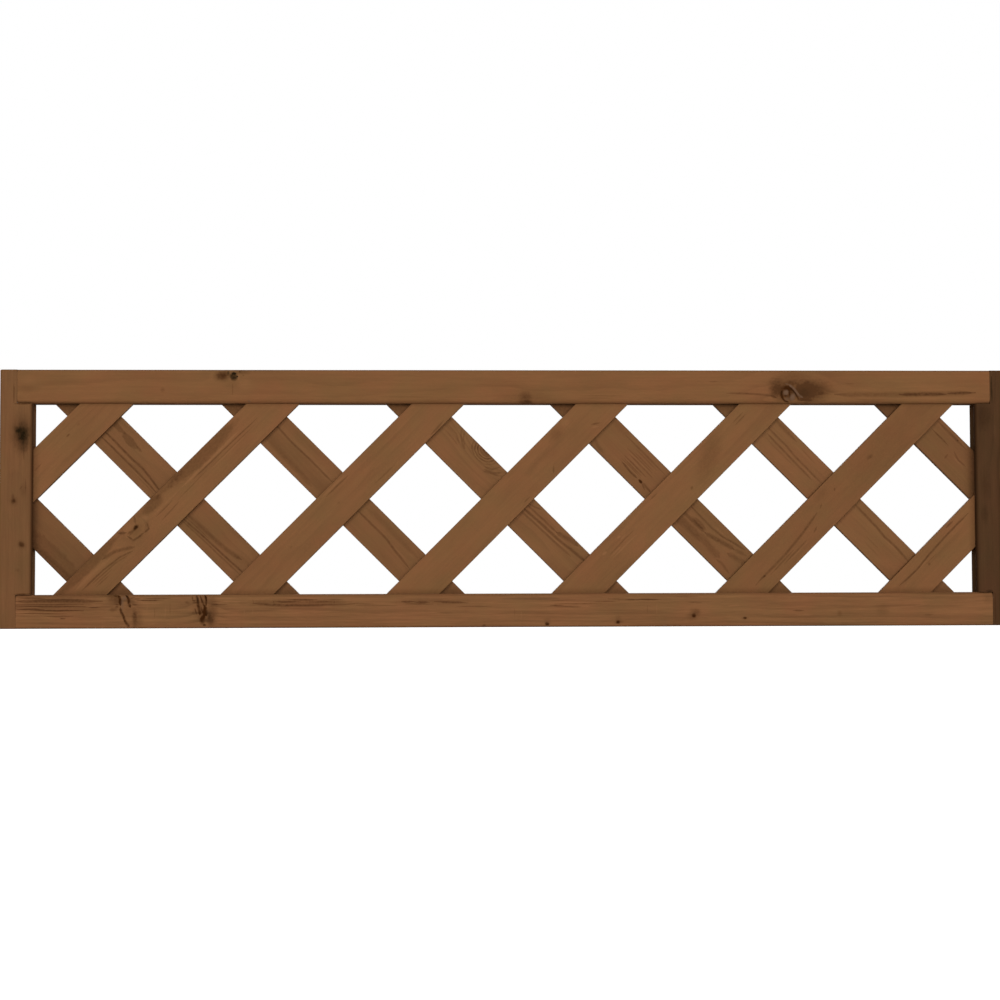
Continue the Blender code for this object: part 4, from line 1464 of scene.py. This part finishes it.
slat_marks = {
    "front_slat_1": {
        "lines": [
            ("dark", 0.7, 0.38, (44, 3), (56, 3.6)),
        ],
        "spots": [
            ("dark", 101.5, 5.3, 3, 1.2, 0, 0.6, 0.55), ("dark", 119, 6, 2, 1.4, 0, 0.8, 0.25),
        ],
    },
    "front_slat_2": {
        "lines": [
            ("dark", 0.9, 0.77, (-72, 9.5), (-70.5, 1.5), (-63, -0.5), (-56, -1)),
            ("dark", 0.9, 0.7, (-55, -1.5), (-48, -1.5), (-44.5, 5)),
            ("dark", 0.8, 0.51, (-70, 8.6), (-60, 9.4)), ("dark", 1.2, 0.77, (-77.5, 20), (-70, 13.5)),
            ("dark", 1, 0.51, (-50, 21), (-55, 13)),
            ("dark", 1.5, 0.58, (-112, 11), (-96, 7.5), (-86, 2), (-75, -5)),
            ("dark", 0.8, 0.64, (-155, 2), (-120, 1.5), (-96, -1.5), (-80, -7)),
            ("dark", 0.7, 0.45, (-140, -1), (-105, -2.6), (-88, -6.5)),
            ("dark", 0.6, 0.38, (-140, -4.5), (-112, -5)), ("dark", 0.6, 0.38, (-140, -7), (-120, -8)),
            ("pale", 1.6, 0.51, (-158, 7.5), (-130, 7.5), (-105, 5.5)),
            ("pale", 1, 0.7, (14, 6), (60, 5), (108, 5.6)), ("pale", 0.8, 0.38, (-35, 5.5), (10, 5.6)),
            ("dark", 0.6, 0.51, (-32, 2), (-5, 2.5)), ("dark", 0.6, 0.45, (-30, -5.6), (0, -4)),
            ("dark", 0.5, 0.38, (0, -1.6), (50, -1)),
            ("dark", 0.6, 0.58, (30, 2.9), (80, 2.2), (135, 1.2)),
            ("dark", 0.5, 0.38, (55, -2), (128, -2.4)), ("pale", 0.5, 0.38, (50, -3.6), (110, -3.8)),
        ],
        "spots": [
            ("umber", -57.8, 10, 3.8, 2.3, 0, 0.5, 1), ("dark", -59, 7, 9, 5, 0, 0.8, 0.3),
            ("pale", -65, 16, 10, 4, 0, 0.6, 0.35), ("pale", -42, 11, 3, 4.5, 20, 0.7, 0.45),
            ("dark", -130, 18, 50, 7, 0, 0.25, 0.46), ("dark", -25, 15.5, 16, 7, 0, 0.25, 0.46),
            ("dark", 60, 16, 54, 9, 0, 0.25, 0.46), ("black", -57.8, 10, 2.6, 1.4, 0, 0.6, 0.5),
            ("umber", -67, 11, 3.4, 1.3, -10, 0.8, 0.4), ("dark", 4, 20, 26, 5.5, 0, 0.4, 0.36),
        ],
        "knots": [
            (-58, 9, 7, 6, 1.5),
        ],
    },
    "front_slat_3": {
        "lines": [
            ("pale", 1, 0.51, (-16, 18.4), (22, 18.4)), ("dark", 0.8, 0.58, (-12, 15.6), (24, 15.6)),
            ("dark", 1, 0.51, (128, -20), (150, -19)), ("dark", 0.8, 0.38, (40, -14), (72, -15)),
        ],
        "spots": [
            ("dark", -84, 3, 2, 1, 0, 0.8, 0.3), ("dark", -7, 0, 2, 1.4, 0, 0.8, 0.25),
        ],
    },
    "front_slat_4": {
        "lines": [
            ("dark", 0.8, 0.51, (66, -11), (60, -17)), ("dark", 0.8, 0.58, (133, -8), (142, -14)),
            ("pale", 0.8, 0.51, (131, -11), (138, -16)), ("dark", 0.7, 0.51, (10, -17), (20, -17)),
        ],
        "spots": [
            ("dark", 95, 13, 9, 7, 0, 0.9, 0.3), ("pale", 113, 15, 5, 4, 0, 0.9, 0.3),
        ],
    },
    "front_slat_5": {
        "lines": [
            ("pale", 0.7, 0.58, (-102, 3), (-82, 3)), ("pale", 0.7, 0.58, (-100, 0), (-62, 0)),
            ("dark", 0.7, 0.38, (-100, 5.5), (-60, 6)), ("dark", 0.7, 0.45, (-20, 17), (-8, 17)),
            ("dark", 0.6, 0.51, (116, 8), (134, 8)), ("dark", 0.6, 0.51, (116, 12), (134, 12)),
        ],
        "spots": [
            ("pale", -104, 11, 3.4, 1.6, 0, 0.5, 0.7), ("pale", -78, 12.4, 2.4, 1.2, 0, 0.5, 0.7),
            ("pale", -74, 9, 4.6, 1.2, 0, 0.5, 0.5), ("umber", 25.5, -8, 2.2, 1.7, 20, 0.7, 0.4),
            ("dark", 66, 2, 30, 11, 25, 0.7, 0.28),
        ],
    },
    "front_slat_6": {
        "lines": [
            ("dark", 1.1, 0.58, (-142, -5), (-90, -4.6), (-60, -2), (-28, 3)),
            ("dark", 0.8, 0.45, (-120, -9), (-80, -8)), ("dark", 0.8, 0.45, (-100, -11.8), (-60, -11)),
            ("pale", 0.8, 0.38, (-95, -13), (-62, -13.5)), ("dark", 0.7, 0.51, (-48, -11), (-40, -8)),
            ("dark", 0.7, 0.51, (-22, 4), (-16, 6.5)),
        ],
        "spots": [
            ("dark", -127, -5.5, 2, 1.2, 0, 0.6, 0.5), ("dark", 7, 8, 2, 1, 40, 0.6, 0.5),
            ("dark", 65, 5, 5, 2.2, 0, 0.8, 0.4), ("dark", 92, 2, 85, 22, 0, 0.9, 0.2),
            ("dark", -8, 15, 10, 5, 0, 0.9, 0.2),
        ],
        "shade": 0.955,
    },
    "front_slat_7": {
        "lines": [
            ("dark", 0.9, 0.7, (-159, 10.4), (-130, 8.6), (-108, 11), (-72, 12.4), (-38, 12.2)),
            ("pale", 0.7, 0.51, (-142, 6.8), (-110, 9)), ("dark", 1, 0.64, (-70, 19.2), (-58, 18.6)),
            ("dark", 0.5, 0.38, (-120, 5.5), (-100, 5.5)),
        ],
        "spots": [
            ("dark", -115, 3, 2, 1.6, 30, 0.6, 0.45),
        ],
    },
    "back_slat_1": {
        "spots": [
            ("dark", 84, -15, 62, 13.5, 0, 0.12, 0.34), ("dark", 92, -20, 50, 6, 0, 0.5, 0.3),
        ],
        "shade": 0.93,
    },
    "back_slat_2": {
        "lines": [
            ("dark", 1, 0.52, (-80, 10.4), (-70, 9.6)),
            ("dark", 1, 0.75, (-124, -3.6), (-72, -4), (-56, -3), (-40, -5), (-22, -7.4)),
            ("dark", 0.9, 0.72, (-124, -11), (-60, -10.6), (-22, -12)),
            ("dark", 0.6, 0.34, (-60, -14), (-24, -15)), ("pale", 0.7, 0.29, (-100, -8), (-60, -6.6)),
            ("pale", 0.6, 0.34, (-65, -13), (-32, -13.6)),
            ("dark", 1.9, 0.48, (18, -4.5), (60, -3), (85, -1), (104, 2.5)),
            ("dark", 0.9, 0.75, (18, -11.4), (60, -9.6), (85, -8.4), (120, -6.8)),
            ("dark", 0.7, 0.43, (18, -8), (60, -7)),
            ("dark", 0.8, 0.48, (18, -14), (60, -12.7), (120, -10.8)),
            ("pale", 0.7, 0.38, (38, -11), (82, -10)),
        ],
        "spots": [
            ("dark", -113, 10.6, 13, 3.3, 0, 0.15, 0.46), ("dark", -89, 9, 12.5, 4.6, -3, 0.15, 0.46),
            ("dark", 106, 3, 14, 4, 8, 0.5, 0.22), ("pale", 103, -14.5, 5, 1.4, 10, 0.6, 0.35),
        ],
    },
    "back_slat_3": {
        "lines": [
            ("dark", 0.9, 0.57, (-122, 6.2), (-95, 4.8), (-60, 5.5), (-22, 5)),
            ("pale", 1.9, 0.32, (-92, 8.6), (-22, 8.2)),
            ("dark", 2.4, 0.29, (-122, -13), (-60, -14), (-38, -16)),
            ("dark", 1, 0.57, (18, 2.5), (70, 2.8), (86, 0), (114, -3)),
            ("dark", 2.4, 0.24, (28, 12), (60, 14), (112, 13)),
            ("pale", 0.7, 0.32, (86, 2.4), (104, 0.8)),
        ],
        "spots": [
            ("dark", -72, -6, 55, 11, 0, 0.2, 0.13),
        ],
    },
    "back_slat_4": {
        "lines": [
            ("umber", 1.2, 0.48, (-66, 20.8), (-51, 20.6)), ("dark", 0.8, 0.44, (-70, 20), (-67, 15.5)),
            ("dark", 0.9, 0.52, (-33.5, 20), (-38, 12), (-46, 8)),
            ("dark", 0.9, 0.52, (-27, 17), (-35, 9), (-45, 5)),
            ("dark", 0.8, 0.44, (-26, 12.5), (-36, 7), (-45, 2.6)),
            ("dark", 0.9, 0.44, (-98, 20.5), (-93, 14), (-85, 8.5), (-78, 6)),
            ("dark", 0.7, 0.39, (-93, 20), (-88, 13), (-81, 9)),
            ("dark", 0.8, 0.35, (-112, 12.5), (-98, 11.4), (-88, 6)),
            ("dark", 0.7, 0.26, (-112, 6), (-98, 5), (-88, 3)),
            ("dark", 1, 0.52, (18, 11), (50, 12.5), (70, 13)),
            ("dark", 2, 0.52, (70, 13), (80, 16), (90, 18.6), (99, 19)),
            ("dark", 0.8, 0.44, (20, 13), (30, 16), (38, 19.5)),
            ("dark", 1.3, 0.68, (18, 5.4), (50, 7), (80, 8.6), (100, 10.6), (120, 12.4)),
            ("dark", 1, 0.44, (18, 1), (50, 2), (80, 3.6), (102, 4)),
            ("pale", 0.8, 0.44, (20, 3.4), (60, 4.6), (86, 5.6)),
            ("pale", 0.8, 0.35, (55, 9.6), (92, 11.4)), ("pale", 0.7, 0.35, (92, 15), (104, 19)),
        ],
        "eyes": [
            (-59, 21.5, 1.35, 2.9, 6, 17, 0.8),
        ],
        "spots": [
            ("dark", -59, 19, 8, 2.4, 0, 0.6, 0.34), ("dark", -72, 14, 5, 4, 60, 0.7, 0.17),
        ],
        "knots": [
            (-59, 22, 14, 10, 3),
        ],
        "shade": 1.06,
    },
    "back_slat_5": {
        "lines": [
            ("dark", 0.9, 0.72, (-73, -10.5), (-56, -12), (-46, -11.4)),
            ("umber", 1, 0.45, (-37, -10), (-31, -11.4), (-22, -12)),
            ("dark", 0.8, 0.68, (-38, -11.6), (-30, -15)),
            ("dark", 0.9, 0.43, (-92, 15.6), (-24, 15.4)), ("dark", 0.8, 0.34, (-80, 6), (-38, 6)),
            ("dark", 0.8, 0.43, (-73, 2.2), (-34, 2)), ("dark", 0.8, 0.48, (-76, -3), (-40, -3)),
            ("dark", 0.8, 0.38, (-73, -6), (-45, -6)), ("pale", 0.7, 0.34, (-72, 0), (-50, 0)),
            ("pale", 0.7, 0.38, (-72, -4.6), (-50, -4.6)),
            ("pale", 0.7, 0.38, (-72, -8.6), (-46, -8.8)),
            ("dark", 1.6, 0.34, (-120, -12), (-108, -17), (-97, -18.5)),
            ("dark", 1.5, 0.58, (18, -1.6), (35, -0.6), (58, -0.4)),
            ("dark", 1.9, 0.62, (58, -0.6), (70, 3), (85, 7), (96, 10)),
            ("dark", 1.6, 0.38, (96, 10), (112, 15)),
            ("dark", 0.9, 0.58, (18, 10), (60, 9.6), (75, 11), (90, 15), (106, 18.5)),
            ("dark", 3.2, 0.43, (18, -9), (36, -7.4), (60, -7.6), (80, -9), (90, -9.4)),
            ("dark", 1.8, 0.29, (18, -14), (40, -12), (60, -12)),
            ("dark", 1.2, 0.38, (90, -13.6), (98, -12.6), (112, -15)),
            ("dark", 2.2, 0.43, (94, 1), (105, 4), (120, 7.6)),
            ("pale", 1.1, 0.43, (20, -3.6), (40, -4.4), (56, -4)),
            ("pale", 0.7, 0.29, (60, 12.6), (74, 14)), ("dark", 0.6, 0.38, (-70, 8.4), (-40, 8.2)),
            ("pale", 0.6, 0.34, (-74, 4), (-40, 4)), ("pale", 0.5, 0.34, (-70, 7), (-44, 7)),
            ("dark", 0.6, 0.38, (-76, -8), (-44, -8)), ("pale", 0.5, 0.3, (-72, -1.6), (-44, -1.6)),
            ("dark", 0.6, 0.3, (-72, 12.4), (-36, 12)),
        ],
        "spots": [
            ("umber", -40.5, -11.4, 3.2, 1.7, 0, 0.5, 1), ("dark", 45, 2.6, 11, 3.2, 0, 0.25, 0.45),
            ("dark", -102, 17, 16, 4, 0, 0.8, 0.19), ("dark", 24, 13, 6, 2, 0, 0.7, 0.22),
        ],
    },
    "back_slat_6": {
        "lines": [
            ("dark", 0.9, 0.51, (-122, 4.6), (-85, 4.6), (-70, 3), (-22, 2.5)),
            ("dark", 0.9, 0.51, (-112, -1), (-90, -1.6), (-70, -2.2), (-34, -3)),
            ("dark", 1.8, 0.42, (-118, 18), (-80, 17)), ("dark", 0.7, 0.25, (-70, 15), (-45, 14)),
            ("dark", 0.7, 0.21, (-110, -6), (-60, -6.4)), ("pale", 0.7, 0.25, (-78, 12.6), (-45, 13)),
            ("pale", 0.7, 0.3, (-50, 0.2), (-24, 0)),
            ("dark", 1.1, 0.59, (18, 13), (60, 12.2), (76, 10), (92, 11.2), (118, 9.4)),
            ("dark", 0.7, 0.25, (60, -5), (82, -5)), ("dark", 0.7, 0.25, (64, -11), (86, -11.6)),
            ("pale", 0.6, 0.3, (74, 8.4), (100, 8.6)),
        ],
        "shade": 1.07,
    },
    "back_slat_7": {
        "lines": [
            ("dark", 0.8, 0.64, (-113, 5.6), (-85, 5.2)),
            ("dark", 0.8, 0.45, (-75, 5), (-64, 1), (-52, 2)),
            ("pale", 0.8, 0.51, (-70, -0.4), (-56, -0.8)), ("dark", 0.8, 0.51, (-78, -3), (-77, -9)),
            ("dark", 1.2, 0.45, (-116, 17.4), (-66, 17)),
        ],
        "spots": [
            ("umber", -81, 17.6, 1.4, 1, 0, 0.5, 0.6),
        ],
        "shade": 0.935,
    },
}
for number, name in enumerate(slats):
    looks[name] = {
        "colour": front_tone if name.startswith("front") else back_tone,
        "seed": 10 + number * 3,
        "pith": (0.05 + 0.013 * (number * 5 % 7), -0.02 + 0.008 * (number * 3 % 6), 0.006),
        "ring": 0.003 + 0.0004 * (number % 4),
        "contrast": 0.1,
        "wander": 0.0016,
        "fine": 0.6,
        "soft": 1.6,
        "corner_shade": corner_shade[name.split("_")[0]],
    }
    looks[name].update(slat_marks[name])
print(len(looks), "boards described")

# %% [markdown]
# ## Metal
#
# The screws are zinc plated with a yellow chromate, the staples plain galvanised wire. Both are
# metals with a faint mottle in colour and gloss.

# %% Metals
def plated(name, low, high, roughness):
    """A plated metal whose colour wanders between two tones."""
    material, plan = new_material(name)
    place = Wire(plan, plan.node("ShaderNodeTexCoord").outputs["Object"])
    blur = plan.noise(plan.vector("SCALE", place, 700.0), 3.0)
    scratch = plan.noise(plan.vector("SCALE", place, 4200.0), 2.0)
    shader = plan.node("ShaderNodeBsdfPrincipled")
    plan.feed(shader.inputs["Base Color"], mix_colour(plan, plan.ramp(blur, 0.3, 0.7), low, high))
    shader.inputs["Metallic"].default_value = 1.0
    plan.feed(shader.inputs["Roughness"], scratch * 0.2 + roughness)
    end_material(plan, shader)
    return material


yellow_zinc = plated("yellow_zinc", (0.46, 0.36, 0.17), (0.60, 0.52, 0.30), 0.28)
galvanised = plated("galvanised_wire", (0.16, 0.16, 0.155), (0.27, 0.27, 0.26), 0.45)

# %% [markdown]
# ## Make the pieces
#
# Each board is grown from its tree with its own sizes, seed and material, then it rides on the
# panel's only body and takes the place of its CAD node.

# %% Rails and stiles
triangles = 0


def settle(piece, slot, *nodes):
    """Let a finished piece ride and replace its CAD nodes. The slot is not used."""
    global triangles
    describe(piece)
    triangles += len(piece.data.loop_triangles)
    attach(piece, "root")
    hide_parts(*nodes)


for number, (name, board) in enumerate(frame_boards.items()):
    is_rail = name.endswith("rail")
    material = stained_wood(name + "_wood", board, looks[name])
    piece = grow(
        name + "_board",
        board_tree,
        length=rail_length if is_rail else panel_height,
        face=rail_face if is_rail else stile_face,
        depth=panel_depth,
        neck=rail_face if is_rail else neck,
        end_arris=0.0004 if is_rail else 0.0012,
        stations=300 if is_rail else 110,
        seed=number + 1,
        place=board["place"],
        turn=board["turn"],
        cutter=screw_cutter if is_rail else stile_cutter,
        material=material,
    )
    slot = "rail_wood" if is_rail else "stile_wood"
    if name == "right_stile":
        slot = "dark_stile_wood"
    settle(piece, slot, name)

# %% Slats in two layers
for number, (name, slat) in enumerate(slats.items()):
    (start, start_slope), (end, end_slope) = slat_ends(slat)
    material = stained_wood(name + "_wood", slat, looks[name])
    piece = grow(
        name + "_strip",
        slat_tree,
        width=slat_width,
        thickness=slat_thickness,
        start=start,
        start_slope=start_slope,
        end=end,
        end_slope=end_slope,
        seed=number + 1,
        place=slat["place"],
        turn=slat["turn"],
        cutter=staple_cutter,
        material=material,
    )
    settle(piece, name.split("_")[0] + "_slat_wood", name)

# %% Fasteners
screws = grow("corner_screws", screw_tree, 30.0, material=yellow_zinc)
settle(screws, "screw_zinc", *[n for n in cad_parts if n.endswith("_screw")])
staples = grow("crossing_staples", staple_tree, crossings=crossing_points, material=galvanised)
settle(staples, "staple_steel", *[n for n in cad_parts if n.startswith("staple_")])
for helper in (staple_cutter, screw_cutter, notches, stile_cutter, crossing_points):
    bpy.data.objects.remove(helper)
print(triangles, "triangles in all")

# %% [markdown]
# ## Floor, light and camera
#
# The photograph is a cut-out on pure white, taken almost at floor level. The floor is plain and
# pale. Seen by the camera it gives off light of its own, so that it reads as white, with hardly a
# shadow under the panel. The world is white where the camera, a gloss or glass sees it, and a dim
# soft light for everything else. One broad lamp stands in front, a weak one hangs above, and a
# smaller one stands behind for the other views.

# %% Floor and world
floor_glow = 0.87
floor_points = [(-6, -6, 0), (6, -6, 0), (6, 6, 0), (-6, 6, 0)]
floor = add_mesh("floor", floor_points, [(0, 1, 2, 3)])
floor_material, plan = new_material("pale_floor")
rays = plan.node("ShaderNodeLightPath")
seen = Wire(plan, rays.outputs["Is Camera Ray"])
diffuse = plan.node("ShaderNodeBsdfDiffuse")
diffuse.inputs["Color"].default_value = (0.75, 0.75, 0.75, 1)
glow = plan.node("ShaderNodeEmission")
glow.inputs["Color"].default_value = (1, 1, 1, 1)
plan.feed(glow.inputs["Strength"], seen * floor_glow)
both = plan.node("ShaderNodeAddShader")
plan.tree.links.new(diffuse.outputs[0], both.inputs[0])
plan.tree.links.new(glow.outputs[0], both.inputs[1])
end_material(plan, both)
floor.data.materials.append(floor_material)

world = bpy.data.worlds.new("studio")
bpy.context.scene.world = world
world.use_nodes = True
world.node_tree.nodes.clear()
plan = Plan(world.node_tree)
rays = plan.node("ShaderNodeLightPath")
seen = plan.math(
    "MAXIMUM",
    plan.math(
        "MAXIMUM",
        Wire(plan, rays.outputs["Is Camera Ray"]),
        Wire(plan, rays.outputs["Is Glossy Ray"]),
    ),
    Wire(plan, rays.outputs["Is Transmission Ray"]),
)
soft_level = 0.13
background = plan.node("ShaderNodeBackground")
background.inputs["Color"].default_value = (1, 1, 1, 1)
plan.feed(background.inputs["Strength"], seen * (1 - soft_level) + soft_level)
last = plan.node("ShaderNodeOutputWorld")
plan.tree.links.new(background.outputs[0], last.inputs["Surface"])
print("world level", soft_level)


# %% Lamps
def lamp(name, place, target, width, height, power):
    """A soft lamp that looks at a point."""
    data = bpy.data.lights.new(name, "AREA")
    data.shape = "RECTANGLE"
    data.size = width
    data.size_y = height
    data.energy = power
    made = add_object(name, data)
    made.location = place
    made.rotation_euler = (Vector(target) - Vector(place)).to_track_quat("-Z", "Y").to_euler()
    return made


lamp("front_lamp", (0.0, -5.0, 0.9), (0, 0, 0.15), 6.5, 2.4, 262)
lamp("top_lamp", (0.2, 0.3, 2.8), (0, 0, 0.15), 1.8, 1.8, 14)
lamp("back_lamp", (0.0, 4.2, 1.2), (0, 0, 0.15), 2.2, 2.2, 130)

# %% [markdown]
# The camera's place, its lens and its three angles were worked out from the photo. The lens is
# given in pixels of a picture 1000 pixels wide, the angles in degrees.

# %% Camera
lens_pixels = 2173.4
picture_width = 1000.0
pan, tilt, roll = -2.358, 2.905, -0.198
camera_data = bpy.data.cameras.new("camera")
camera_data.sensor_width = 36.0
camera_data.lens = lens_pixels * camera_data.sensor_width / picture_width
camera_data.clip_start = 0.05
camera_data.clip_end = 50.0
camera = add_object("camera", camera_data)
camera.location = (-0.1159, -2.5905, 0.020)
camera.rotation_mode = "QUATERNION"
look_at = (
    Matrix.Rotation(math.radians(pan), 4, "Z")
    @ Matrix.Rotation(math.radians(90 + tilt), 4, "X")
    @ Matrix.Rotation(math.radians(roll), 4, "Z")
)
camera.rotation_quaternion = look_at.to_quaternion()
bpy.context.scene.camera = camera
bpy.context.scene.view_settings.view_transform = "Standard"
print("lens", round(camera_data.lens, 1), "mm")
